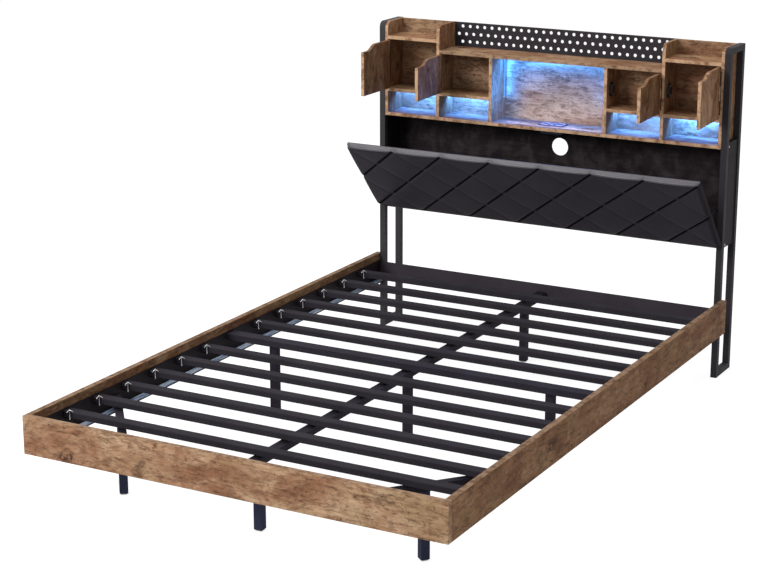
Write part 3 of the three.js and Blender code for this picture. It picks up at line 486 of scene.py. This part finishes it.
def light_tape(name, level=1.2, base=(200, 225, 240)):
    """The glowing tape, with a brighter spot at each of its lamps."""
    tree = Tree(name)
    spots = tree.cells(tree.place, 60, 0.0)
    glow = tree.ramp(spots, [(0.1, colour(226, 244, 255)), (0.5, colour(104, 184, 255))])
    tree.set(base=colour(*base), rough=0.5, glow=glow, glow_level=level)
    return tree.material


def floor_material(name):
    """White floor: it keeps soft shadows, and the camera sees it as a white page."""
    tree = Tree(name)
    tree.nodes.remove(tree.shader)

    def diffuse(level):
        made = tree.add("ShaderNodeBsdfDiffuse")
        made.inputs["Color"].default_value = (level, level, level, 1.0)
        return made.outputs[0]

    glow = tree.add("ShaderNodeEmission")
    glow.inputs["Strength"].default_value = FLOOR_GLOW
    page = joined_shaders(tree.node_tree, "ShaderNodeAddShader", glow.outputs[0], diffuse(FLOOR_SEEN))
    finished = joined_shaders(tree.node_tree, "ShaderNodeMixShader", looked_at(tree.node_tree),
                              diffuse(FLOOR_BOUNCE), page)
    tree.links.new(finished, tree.output.inputs["Surface"])
    return tree.material


# Mesh helpers

def new_piece(name, parts, material, body="frame", smooth=False):
    """A piece from (vertices, faces) parts, riding on a body."""
    vertices, faces = gathered(parts)
    mesh = bpy.data.meshes.new(name)
    mesh.from_pydata([tuple(v) for v in vertices], [], faces)
    mesh.validate()
    mesh.materials.append(material)
    if smooth:
        mesh.polygons.foreach_set("use_smooth", [True] * len(mesh.polygons))
    piece = bpy.data.objects.new(name, mesh)
    bpy.context.scene.collection.objects.link(piece)
    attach(piece, body)
    return piece


def gathered(parts):
    """One vertex list and one face list from several."""
    vertices, faces = [], []
    for some_vertices, some_faces in parts:
        start = len(vertices)
        vertices += some_vertices
        faces += [tuple(start + index for index in face) for face in some_faces]
    return vertices, faces


def lathe(profile, steps, matrix):
    """Turns (radius, height) points round Z; both ends lie on the axis."""
    vertices = [matrix @ Vector((0, 0, profile[0][1]))]
    for radius, height in profile[1:-1]:
        for step in range(steps):
            angle = 2 * math.pi * step / steps
            vertices.append(matrix @ Vector((radius * math.cos(angle), radius * math.sin(angle), height)))
    vertices.append(matrix @ Vector((0, 0, profile[-1][1])))
    rings = len(profile) - 2
    faces = []
    for step in range(steps):
        after = (step + 1) % steps
        faces.append((0, 1 + after, 1 + step))
        for ring in range(rings - 1):
            low, high = 1 + ring * steps, 1 + (ring + 1) * steps
            faces.append((low + step, low + after, high + after, high + step))
        last = 1 + (rings - 1) * steps
        faces.append((last + step, last + after, len(vertices) - 1))
    return vertices, faces


def slab(outline, low, high, matrix):
    """A plate with a flat outline, from low to high along its local Z."""
    count = len(outline)
    vertices = [matrix @ Vector((x, y, level)) for level in (low, high) for x, y in outline]
    faces = [tuple(reversed(range(count))), tuple(range(count, 2 * count))]
    for index in range(count):
        after = (index + 1) % count
        faces.append((index, after, count + after, count + index))
    return vertices, faces


def ring_slab(outer, inner, low, high, matrix):
    """A flat ring between two outlines with the same number of points."""
    count = len(outer)
    vertices = [matrix @ Vector((x, y, level)) for level in (low, high) for ring in (outer, inner) for x, y in ring]
    low_out, low_in, high_out, high_in = (start * count for start in range(4))
    faces = []
    for index in range(count):
        after = (index + 1) % count
        faces.append((high_out + index, high_out + after, high_in + after, high_in + index))
        faces.append((low_out + after, low_out + index, low_in + index, low_in + after))
        faces.append((low_out + index, low_out + after, high_out + after, high_out + index))
        faces.append((low_in + after, low_in + index, high_in + index, high_in + after))
    return vertices, faces


def rounded_outline(half_width, half_height, radius, steps=5):
    points = []
    corners = [(1, 1, 0), (-1, 1, 90), (-1, -1, 180), (1, -1, 270)]
    for side_x, side_y, start in corners:
        for step in range(steps + 1):
            angle = math.radians(start + 90 * step / steps)
            points.append((side_x * (half_width - radius) + radius * math.cos(angle),
                           side_y * (half_height - radius) + radius * math.sin(angle)))
    return points


def soften(piece, width):
    """Rounds a piece's sharp edges."""
    bevel = piece.modifiers.new("edges", "BEVEL")
    bevel.width = width
    bevel.segments = 2
    bevel.limit_method = "ANGLE"
    bevel.angle_limit = math.radians(40)
    bevel.harden_normals = False


def facing(origin, towards):
    """A matrix whose local Z looks along towards, which isn't upright."""
    forward = Vector(towards).normalized()
    side = Vector((0, 0, 1)).cross(forward).normalized()
    turned = Matrix((side, forward.cross(side), forward)).transposed().to_4x4()
    return Matrix.Translation(Vector(origin)) @ turned


# Cushion

def panel_to_frame():
    return Matrix.Translation(PAD_AXIS) @ Matrix.Rotation(PAD_OPEN_ANGLE, 4, "X")


def near_rim(place, length):
    """1 at either end of a length, falling to 0 where the rolled rim stops."""
    return np.clip(1 - np.minimum(place, length - place) / QUILT_ROLL, 0, 1)


def quilt_surface(x, z):
    """Height over the board and how strong the painted shading is in the sewn channels and at the left and right ends,
    for arrays of places from the lower left corner.
    """
    across = x / PAD_WIDTH * DIAMONDS_ACROSS
    up = z / PAD_HEIGHT * DIAMONDS_HIGH
    rising = np.abs(np.sin(np.pi * (across - up)))
    falling = np.abs(np.sin(np.pi * (across + up)))
    puff = rising ** RISING_POWER * falling ** FALLING_POWER
    diamond_width, diamond_height = PAD_WIDTH / DIAMONDS_ACROSS, PAD_HEIGHT / DIAMONDS_HIGH
    pitch = diamond_width / math.hypot(1, diamond_width / diamond_height)
    rising_gap = np.arcsin(np.clip(rising, 0, 1)) / np.pi * pitch
    falling_gap = np.arcsin(np.clip(falling, 0, 1)) / np.pi * pitch
    seam = np.exp(-(rising_gap / SEAM_WIDTH) ** 4)
    faint = np.exp(-(falling_gap / FAINT_WIDTH) ** 2)
    crossing = np.exp(-((rising_gap ** 2 + falling_gap ** 2) / CROSSING_WIDTH ** 2))
    drift = RIPPLE_DRIFT * np.sin(across * RIPPLE_DRIFT_PACE)
    waves = np.sin(falling_gap * 2 * np.pi / RIPPLE_PITCH + drift)
    ripples = waves * np.exp(-rising_gap / RIPPLE_REACH)
    surface = (QUILT_CHANNEL + (QUILT_CROWN - QUILT_CHANNEL) * puff - SEAM_DEPTH * seam - FAINT_DEPTH * faint
               + CROSSING_RISE * crossing * seam + RIPPLE_HEIGHT * ripples)
    edge = np.minimum.reduce([x, PAD_WIDTH - x, z, PAD_HEIGHT - z, np.full_like(x, QUILT_ROLL)]) / QUILT_ROLL
    roll = np.sqrt(np.clip(1 - (1 - edge) ** 2, 0, 1))
    height = QUILT_SIDE + (surface - QUILT_SIDE) * roll
    # Painted shading for the channels and the left and right ends, lighter at the crossings
    painted_quilt_shading = (SEAM_PAINTED_SHADING * seam + FAINT_PAINTED_SHADING * faint - SEAM_PAINTED_SHADING * crossing
              + SIDE_PAINTED_SHADING * near_rim(x, PAD_WIDTH))
    return height, np.clip(painted_quilt_shading, 0, 1)


def quilt_drawn(x, z):
    """The places with the rim drawn in at each channel and the corners rounded."""
    across = np.abs(np.sin(np.pi * x * DIAMONDS_ACROSS / PAD_WIDTH))
    up = np.abs(np.sin(np.pi * z * DIAMONDS_HIGH / PAD_HEIGHT))
    pull_x = near_rim(x, PAD_WIDTH) * np.exp(-(up / NOTCH_SPREAD_HIGH) ** 2)
    pull_z = near_rim(z, PAD_HEIGHT) * np.exp(-(across / NOTCH_SPREAD_ACROSS) ** 2)
    pulled_x = x + QUILT_NOTCH * pull_x * np.sign(PAD_WIDTH / 2 - x)
    pulled_z = z + QUILT_NOTCH * pull_z * np.sign(PAD_HEIGHT / 2 - z)
    centre_x = np.clip(pulled_x, QUILT_CORNER, PAD_WIDTH - QUILT_CORNER)
    centre_z = np.clip(pulled_z, QUILT_CORNER, PAD_HEIGHT - QUILT_CORNER)
    off_x, off_z = pulled_x - centre_x, pulled_z - centre_z
    length = np.hypot(off_x, off_z)
    square = np.maximum(np.abs(off_x), np.abs(off_z))
    share = np.where(length > TINY, square / np.maximum(length, TINY), 1.0)
    return centre_x + off_x * share, centre_z + off_z * share


def fine_lines(length, steps):
    """Grid lines along one side, closer together near both rims."""
    rim = QUILT_ROLL * (1 - np.cos(np.linspace(0, math.pi / 2, ROLL_STEPS)))[:-1]
    inner = np.linspace(QUILT_ROLL, length - QUILT_ROLL, steps)
    return np.concatenate([rim, inner, length - rim[::-1]])


def grid_rim(rows, columns):
    """The places round the rim of a grid, counter-clockwise from its lower left corner."""
    rim = [(0, column) for column in range(columns - 1)]
    rim += [(row, columns - 1) for row in range(rows - 1)]
    rim += [(rows - 1, column) for column in range(columns - 1, 0, -1)]
    return rim + [(row, 0) for row in range(rows - 1, 0, -1)]


def turned_place(x, z, outward, depth):
    """Where a place on the pad's outline goes on a ring of the cover's turned edge."""
    reach_x, reach_z = PAD_WIDTH / 2 - COVER_CORNER, PAD_HEIGHT / 2 - COVER_CORNER
    flat = np.array([x, z])
    away = flat - np.array([np.clip(x, -reach_x, reach_x), np.clip(z, -reach_z, reach_z)])
    away = away / max(np.linalg.norm(away), TINY)
    by_hinge = z < TOUCH - PAD_HEIGHT / 2
    moved = flat + away * (min(outward, HINGE_SIDE_COVER) if by_hinge else outward)
    return np.array([moved[0], depth, moved[1] + PAD_BOTTOM_GAP + PAD_HEIGHT / 2])


def make_cushion(material, rim_material):
    """The quilted cover: a fine grid over the front, rings round the board's edge, and a flat back."""
    lines_x = fine_lines(PAD_WIDTH, DIAMONDS_ACROSS * STEPS_ACROSS)
    lines_z = fine_lines(PAD_HEIGHT, DIAMONDS_HIGH * STEPS_HIGH)
    columns, rows = len(lines_x), len(lines_z)
    x, z = np.meshgrid(lines_x, lines_z)
    height, painted_quilt_shading = quilt_surface(x, z)
    drawn_x, drawn_z = quilt_drawn(x, z)
    front = np.stack([drawn_x - PAD_WIDTH / 2, -PAD_BOARD - COVER_GAP - height, drawn_z + PAD_BOTTOM_GAP], -1)
    points = list(front.reshape(-1, 3))
    painted_quilt_shadings = list(painted_quilt_shading.reshape(-1))
    faces = []
    for row in range(rows - 1):
        for column in range(columns - 1):
            low = row * columns + column
            faces.append((low, low + 1, low + columns + 1, low + columns))
    rim = grid_rim(rows, columns)
    last = [row * columns + column for row, column in rim]
    for number, (outward, depth) in enumerate(COVER_RINGS):
        ring = range(len(points), len(points) + len(rim))
        for row, column in rim:
            flat_x, flat_z = lines_x[column] - PAD_WIDTH / 2, lines_z[row] - PAD_HEIGHT / 2
            points.append(turned_place(flat_x, flat_z, outward, depth))
            # Painted shading on the turned edge: its left and right faces, and on the first ring the channels' shading
            side = SIDE_PAINTED_SHADING if abs(flat_x) > PAD_WIDTH / 2 - TOUCH else 0.0
            painted_quilt_shadings.append(max(side, TURNED_PAINTED_SHADING * painted_quilt_shading[row, column] if number == 0 else 0.0))
        for place in range(len(rim)):
            after = (place + 1) % len(rim)
            faces.append((last[place], ring[place], ring[after], last[after]))
        last = ring
    faces.append(tuple(last))
    to_frame = panel_to_frame()
    vertices = [to_frame @ Vector(point) for point in points]
    cushion = new_piece("quilted_cover", [(vertices, faces)], material, "tilt_panel", smooth=True)
    to_panel = to_frame.inverted()

    # Faces near the top that face upward get the rim leather with its painted highlight
    def on_upper_rim(centre, normal):
        from_top = PAD_BOTTOM_GAP + PAD_HEIGHT - (to_panel @ centre).z
        return from_top < RIM_WIDTH and (to_panel.to_3x3() @ normal).z > RIM_SLOPE

    dress_where(cushion, rim_material, on_upper_rim)
    # The painted shading is kept per vertex for the leather
    attribute = cushion.data.attributes.new("painted_quilt_shading", "FLOAT", "POINT")
    attribute.data.foreach_set("value", np.array(painted_quilt_shadings, np.float32))
    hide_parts("quilted_cushion")


# Slat clips, catches, screws and outlet rings

def screw_head(origin, towards, radius):
    """A low domed head with a round recess."""
    profile = [(0, 0), (radius, 0), (radius, radius * 0.25), (radius * 0.8, radius * 0.5),
               (radius * 0.45, radius * 0.62), (radius * 0.35, radius * 0.3), (0, radius * 0.25)]
    return lathe(profile, HEAD_STEPS, facing(origin, towards))


def wing_outline():
    """The side view of one wing: a thin arch that falls from the bolt outwards."""
    under = []
    for step in range(WING_STEPS + 1):
        share = step / WING_STEPS
        under.append((share * WING_REACH, WING_ARCH * (1 - share ** 2)))
    return under + [(x, y + WING_THICKNESS) for x, y in reversed(under)]


def slat_clip(x, y):
    """A bolt with a winged cap over a slat's end; its shank runs down the slat's front face."""
    front = y - SLAT_HALF_WIDTH - CLIP_OFF_SLAT
    upright = Matrix.Rotation(math.radians(90), 4, "X")
    parts = []
    for turn in WING_TURNS:
        place = Matrix.Translation((x, front, SLAT_TOP + WING_BASE)) @ Matrix.Rotation(math.radians(turn), 4, "Z")
        parts.append(slab(wing_outline(), -WING_HALF_WIDTH, WING_HALF_WIDTH, place @ upright))
    bolt = Matrix.Translation((x, front, SLAT_TOP))
    return parts + [lathe(CLIP_HEAD, HEAD_STEPS, bolt), lathe(CLIP_SHANK, SHANK_STEPS, bolt)]


def make_slat_clips(material):
    parts = []
    for first in FIRST_SLATS:
        for number in range(SLATS_PER_HALF):
            for x in CLIP_PLACES_X:
                parts += slat_clip(x, foot_y(first + number * SLAT_PITCH))
    new_piece("slat_clips", parts, material, smooth=True)


def make_catch(number, plastic, steel):
    """A magnetic catch on a compartment wall: a rounded case with a stepped cap, held by two screws."""
    wall_x, z = CATCHES[number]
    towards = (math.copysign(1, wall_x), 0, 0)
    matrix = facing((wall_x, foot_y(CATCH_Y), z), towards)

    def case_outline(step):
        return rounded_outline(CATCH_WIDTH / 2 - step, CATCH_LENGTH / 2 - step, CATCH_ROUND - step)

    case = [slab(case_outline(0), 0.0, CATCH_BASE, matrix),
            slab(case_outline(CATCH_STEP), CATCH_BASE, CATCH_DEPTH, matrix)]
    soften(new_piece(f"catch_{number}_case", case, plastic), CATCH_BEVEL)
    heads = [screw_head(matrix @ Vector((0, offset, CATCH_DEPTH)), towards, CATCH_SCREW_RADIUS)
             for offset in CATCH_SCREWS]
    new_piece(f"catch_{number}_screws", heads, steel, smooth=True)


def make_panel_screws(material):
    """Screws in the lower side panels, near the top and the bottom of their front edges."""
    heads = [screw_head((side * PANEL_SCREW_X, foot_y(y), z), (side, 0, 0), PANEL_SCREW_RADIUS)
             for side in (-1, 1) for y, z in PANEL_SCREWS]
    new_piece("panel_screws", heads, material, smooth=True)


def make_outlet_trim(material):
    """Pale rings round the two sockets and the charging ports."""
    rings = []
    for x, half_width in OUTLET_RINGS:
        outer, inner = (rounded_outline(half_width - inset, OUTLET_RING_HALF_HEIGHT - inset, OUTLET_RING_ROUND - inset)
                        for inset in (0, OUTLET_RING_WIDTH))
        matrix = Matrix.Translation((x, foot_y(OUTLET_Y), OUTLET_TOP))
        rings.append(ring_slab(outer, inner, 0.0, OUTLET_RING_RISE, matrix))
    new_piece("outlet_trim", rings, material)


# Camera, surroundings and floor

def make_camera():
    back = Vector((math.sin(CAMERA_AZIMUTH) * math.cos(CAMERA_ELEVATION),
                   -math.cos(CAMERA_AZIMUTH) * math.cos(CAMERA_ELEVATION), math.sin(CAMERA_ELEVATION)))
    right = Vector((math.cos(CAMERA_AZIMUTH), math.sin(CAMERA_AZIMUTH), 0))
    top = back.cross(right)
    rolled_right = math.cos(CAMERA_ROLL) * right + math.sin(CAMERA_ROLL) * top
    rolled_top = -math.sin(CAMERA_ROLL) * right + math.cos(CAMERA_ROLL) * top
    turned = Matrix((rolled_right, rolled_top, back)).transposed().to_4x4()
    camera = bpy.data.cameras.new("photo_camera")
    camera.lens = CAMERA_LENS
    camera.sensor_width = CAMERA_SENSOR
    camera.clip_start, camera.clip_end = CAMERA_CLIP
    holder = bpy.data.objects.new("photo_camera", camera)
    bpy.context.scene.collection.objects.link(holder)
    holder.matrix_world = Matrix.Translation(CAMERA_TARGET + back * CAMERA_DISTANCE) @ turned
    bpy.context.scene.camera = holder


def make_world():
    """Soft light from all round, and a white page behind the bed."""
    world = bpy.data.worlds.new("studio")
    bpy.context.scene.world = world
    world.use_nodes = True
    tree = world.node_tree
    tree.nodes.clear()

    def white(level):
        made = tree.nodes.new("ShaderNodeBackground")
        made.inputs["Color"].default_value = (1.0, 1.0, 1.0, 1.0)
        made.inputs["Strength"].default_value = level
        return made.outputs[0]

    finished = joined_shaders(tree, "ShaderNodeMixShader", looked_at(tree), white(WORLD_LEVEL), white(1.0))
    tree.links.new(finished, tree.nodes.new("ShaderNodeOutputWorld").inputs["Surface"])


def make_floor():
    half = FLOOR_SIZE / 2
    mesh = bpy.data.meshes.new("floor")
    mesh.from_pydata([(-half, -half, 0), (half, -half, 0), (half, half, 0), (-half, half, 0)], [], [(0, 1, 2, 3)])
    mesh.materials.append(floor_material("floor_white"))
    floor = bpy.data.objects.new("floor", mesh)
    bpy.context.scene.collection.objects.link(floor)


# Lamps: name, place, direction, width, height, power

STUDIO_LAMPS = (
    ("key", (-3.4, -6.0, 4.6), (3.4, 6.6, -4.0), 3.4, 3.0, 430),
    ("top", (0.6, 0.6, 6.0), (-0.1, 0.0, -1.0), 4.0, 4.0, 105),
    ("rim", (-2.55, -0.2, 5.5), (2.55, 0.98, -4.75), 1.5, 1.5, 60),
)
BAY_POWER = 1.75
BAY_AIM = (0, 0.75, -1)
BAY_BLUE = (0.055, 0.245, 1.0)
STRIP_BLUE = (0.03, 0.22, 1.0)
FILL_BLUE = (0.48, 0.60, 1.0)
BAY_TAPE_Y = foot_y(2.2480)
BAY_TAPE_END = 0.005
CEILING_TAPE_Y = foot_y(2.2590)
SIDE_TAPE_Y = foot_y(2.2740)
SIDE_TAPE_Z = (LIT_CEILING + TOP_BOARD_UNDERSIDE) / 2
WALL_GLOW_Y = foot_y(2.19)
TAPE_WIDTH = 0.006
TAPE_OFF_WALL = 0.004
COMPARTMENT_LAMPS = (
    ("centre_glow", (0, CEILING_TAPE_Y, TOP_BOARD_UNDERSIDE - TAPE_OFF_WALL), (0, 0.2, -1), 0.43, TAPE_WIDTH, 2.6,
     STRIP_BLUE),
    ("left_glow", (-INNER_DIVIDER_X + TAPE_OFF_WALL, SIDE_TAPE_Y, SIDE_TAPE_Z), (1, 0.1, 0), TAPE_WIDTH, 0.15, 0.65,
     STRIP_BLUE),
    ("left_wall_glow", (-INNER_DIVIDER_X + 0.09, WALL_GLOW_Y, SIDE_TAPE_Z - 0.05), (-1, 0, 0), 0.03, 0.15, 0.55,
     STRIP_BLUE),
    ("right_glow", (INNER_DIVIDER_X - TAPE_OFF_WALL, SIDE_TAPE_Y, SIDE_TAPE_Z), (-1, 0.1, 0), TAPE_WIDTH, 0.15, 0.7,
     STRIP_BLUE),
    ("centre_fill", (0.01, WALL_GLOW_Y, 0.871), (0, 1, 0), 0.38, 0.012, 0.46, FILL_BLUE),
)


def add_area(name, place, towards, size_x, size_y, power, tint=(1, 1, 1)):
    """A rectangular lamp that the camera doesn't see."""
    lamp = bpy.data.lights.new(name, "AREA")
    lamp.shape = "RECTANGLE"
    lamp.size, lamp.size_y = size_x, size_y
    lamp.energy = power
    lamp.color = tint
    holder = bpy.data.objects.new(name, lamp)
    bpy.context.scene.collection.objects.link(holder)
    holder.matrix_world = facing(place, [-part for part in towards])
    holder.visible_camera = False


def make_lamps():
    for lamp in STUDIO_LAMPS:
        add_area(*lamp)
    for side in (-1, 1):
        for low, high in ((INNER_DIVIDER_OUTER_X, TALL_DIVIDER_X), (TALL_DIVIDER_OUTER_X, SIDE_PANEL_X)):
            place = (side * (low + high) / 2, BAY_TAPE_Y, LIT_CEILING - TAPE_OFF_WALL)
            add_area("bay_glow", place, BAY_AIM, high - low - 2 * BAY_TAPE_END, TAPE_WIDTH, BAY_POWER, BAY_BLUE)
    for lamp in COMPARTMENT_LAMPS:
        add_area(*lamp)


# Materials on the imported nodes

# Grain, seed, painted shading, and where there is one the axis that the edge band looks along and the edge band's
# painted shading
BOARDS = {
    "foot_board": ("X", 1.0, (1.0, 1.03, 1.065), 2, 0.54),
    "side_board_left": ("Y", 2.0, (0.58, 0.54, 0.50), 2, 0.45),
    "side_board_right": ("Y", 3.0, (0.63, 0.555, 0.49), 2, 0.45),
    "upper_back_panel": ("X", 4.4, (0.84, 0.84, 0.86)),
    "upper_side_panel_left": ("Z", 5.0, (0.8, 0.76, 0.72), 1, 0.9),
    "upper_side_panel_right": ("Z", 6.0, (0.8, 0.76, 0.72), 1, 0.9),
    # The main shelf's painted shading is bluer, as painted light from the blue tapes
    "main_shelf": ("X", 10.0, (0.74, 0.79, 0.98), 1),
    "top_board": ("X", 11.0, (0.83, 0.83, 0.84), 1, 0.65),
}
SHELVES = ("small_shelf_inner_left", "small_shelf_outer_left", "small_shelf_inner_right",
           "small_shelf_outer_right", "cubby_shelf_left", "cubby_shelf_right")
DIVIDERS = ("tall_divider_left", "tall_divider_right", "inner_divider_left", "inner_divider_right")
# The hinge axis's X, the angle at which the door stands open in the photo, and the painted shading
DOORS = {
    1: (-0.6619, 90, (0.62, 0.60, 0.58)), 2: (-0.4432, 88, (0.66, 0.64, 0.68)),
    3: (0.4432, 92, (0.74, 0.70, 0.66)), 4: (0.6619, 92, (0.8, 0.76, 0.72)),
}
# Grain, strength of the lighter patches, and painted shading
BLACK_BOARDS = {
    "lower_side_panel_left": ("Z", 0.1, 0.7), "lower_side_panel_right": ("Z", 0.1, 0.7),
    "lower_back_panel": ("X", 0.36, 1.15), "lower_floor_board": ("X", 0.36, 1.15),
}
BEAMS_AND_LEGS = ("mid_cross_beam", "centre_beam", "corner_leg_left", "corner_leg_right")


def dress(material, *names):
    """Gives the named nodes one material, and returns the last of them."""
    for name in names:
        piece = nodes[name]
        piece.data.materials.clear()
        piece.data.materials.append(material)
    return piece


def dress_where(piece, material, belongs):
    """Gives the faces whose middle passes the test a further material."""
    piece.data.materials.append(material)
    index = len(piece.data.materials) - 1
    for face in piece.data.polygons:
        if belongs(face.center, face.normal):
            face.material_index = index


def dress_door(number, steel):
    """Wood for a door, and plated steel for the hinge leaf and knuckles that are part of it."""
    axis_x, open_angle, painted_shading = DOORS[number]
    door = dress(rustic_wood(f"wood_door_{number}", "Z", 30.0 + number, painted_shading, edge_axis=1), f"door_{number}")
    opened = math.radians(open_angle)
    along = Vector((math.cos(opened), -math.sin(opened), 0))
    axis = Vector((axis_x, foot_y(DOOR_AXIS_Y), 0))
    dress_where(door, steel, lambda centre, normal: (centre - axis).dot(along) < DOOR_LEAF_END)


def dress_wood():
    for name, recipe in BOARDS.items():
        dress(rustic_wood(f"wood_{name}", *recipe), name)
    # Shelves and dividers take painted shading, the dividers darker as in the shadow between the compartments
    for number, name in enumerate(SHELVES):
        dress(rustic_wood(f"wood_{name}", "X", 12.0 + number, (0.95, 0.92, 0.9), edge_axis=1), name)
    for number, name in enumerate(DIVIDERS):
        dress(rustic_wood(f"wood_{name}", "Z", 20.0 + number, (0.82, 0.78, 0.75), edge_axis=1), name)
    leaf_steel = bright_steel("door_leaf_steel", (74, 60, 50), 0.5)
    for number in DOORS:
        dress_door(number, leaf_steel)
    for number, (name, (grain, patches, painted_shading)) in enumerate(BLACK_BOARDS.items()):
        dress(black_wood(f"black_{name}", grain, 40.0 + number, patches, painted_shading), name)


def dress_steel():
    dress(coated_steel("frame_paint"), "foot_rail", "side_frame_right", "perforated_guard")
    # The left frame takes a lighter copy of the frame paint: painted light where the lamps light the left side more
    dress(coated_steel("left_frame_painted_lighter", (60, 57, 61)), "side_frame_left")
    dress(coated_steel("head_rail_paint", (58, 53, 59), 0.7), "head_rail")
    dress(rail_steel("rail_paint"), "side_rail_left", "side_rail_right")
    dress(coated_steel("slat_paint", (43, 40, 46), 0.7), *[name for name in nodes if name.startswith("slat_")])
    dress(bright_steel("hinge_plating", (70, 56, 46), 0.5), *[f"door_hinge_{number}" for number in DOORS])
    beam_steel = coated_steel("beam_paint", (42, 39, 47), 0.7)
    leg_steel = coated_steel("foot_leg_bluer_tone", (51, 54, 74), 0.7)
    glide = moulded_plastic("glide_plastic", (214, 212, 210), 0.5)

    # The lowest faces of the legs at the foot take a bluer tone than the beams
    def on_foot_leg(centre, normal):
        return centre.z < LEG_FACES_TOP and centre.y < foot_y(FOOT_LEGS_END)

    for name in BEAMS_AND_LEGS:
        piece = dress(beam_steel, name)
        dress_where(piece, leg_steel, on_foot_leg)
        dress_where(piece, glide, lambda centre, normal: centre.z < GLIDE_TOP)


def dress_panel():
    """The tilt board, its hinge and its stays."""
    stay_steel = coated_steel("stay_paint", (30, 28, 30), 0.5)
    dress(stay_steel, "panel_hinge", "stay_left", "stay_right")
    board = dress(black_wood("black_tilt_board", "X", 50.0), "tilt_board")
    to_panel = panel_to_frame().inverted()

    def on_knuckle_or_lug(centre, normal):
        place = to_panel @ centre
        return place.y > TOUCH or place.z < PAD_BOTTOM_GAP - TOUCH

    dress_where(board, stay_steel, on_knuckle_or_lug)


def dress_electrics():
    tape = dress(light_tape("tape_glow"), "led_strip")

    def on_side_tape(centre, normal):
        return LIT_CEILING < centre.z < TOP_BOARD_UNDERSIDE - TAPE_HEIGHT

    dress_where(tape, light_tape("side_tape_glow", 0.4, (70, 110, 120)), on_side_tape)
    dress(moulded_plastic("outlet_plastic", (20, 30, 62), 0.32), "power_outlet")


def make_hardware():
    screw_steel = bright_steel("screw_plating", (170, 168, 166), 0.32)
    catch_plastic = moulded_plastic("catch_plastic", (18, 17, 17), 0.4)
    make_slat_clips(bright_steel("clip_plating", (176, 174, 176), 0.22))
    make_outlet_trim(moulded_plastic("outlet_trim_plastic", (172, 176, 188), 0.4))
    make_panel_screws(screw_steel)
    for number in CATCHES:
        make_catch(number, catch_plastic, screw_steel)


make_camera()
make_world()
make_floor()
make_lamps()
dress_wood()
dress_steel()
dress_panel()
dress_electrics()
# The rim leather is glossier, and its lighter colour is a painted highlight
make_cushion(leather("quilt_leather"), leather("rim_leather", 0.5, 10))
make_hardware()

bpy.context.scene.view_settings.view_transform = "Standard"
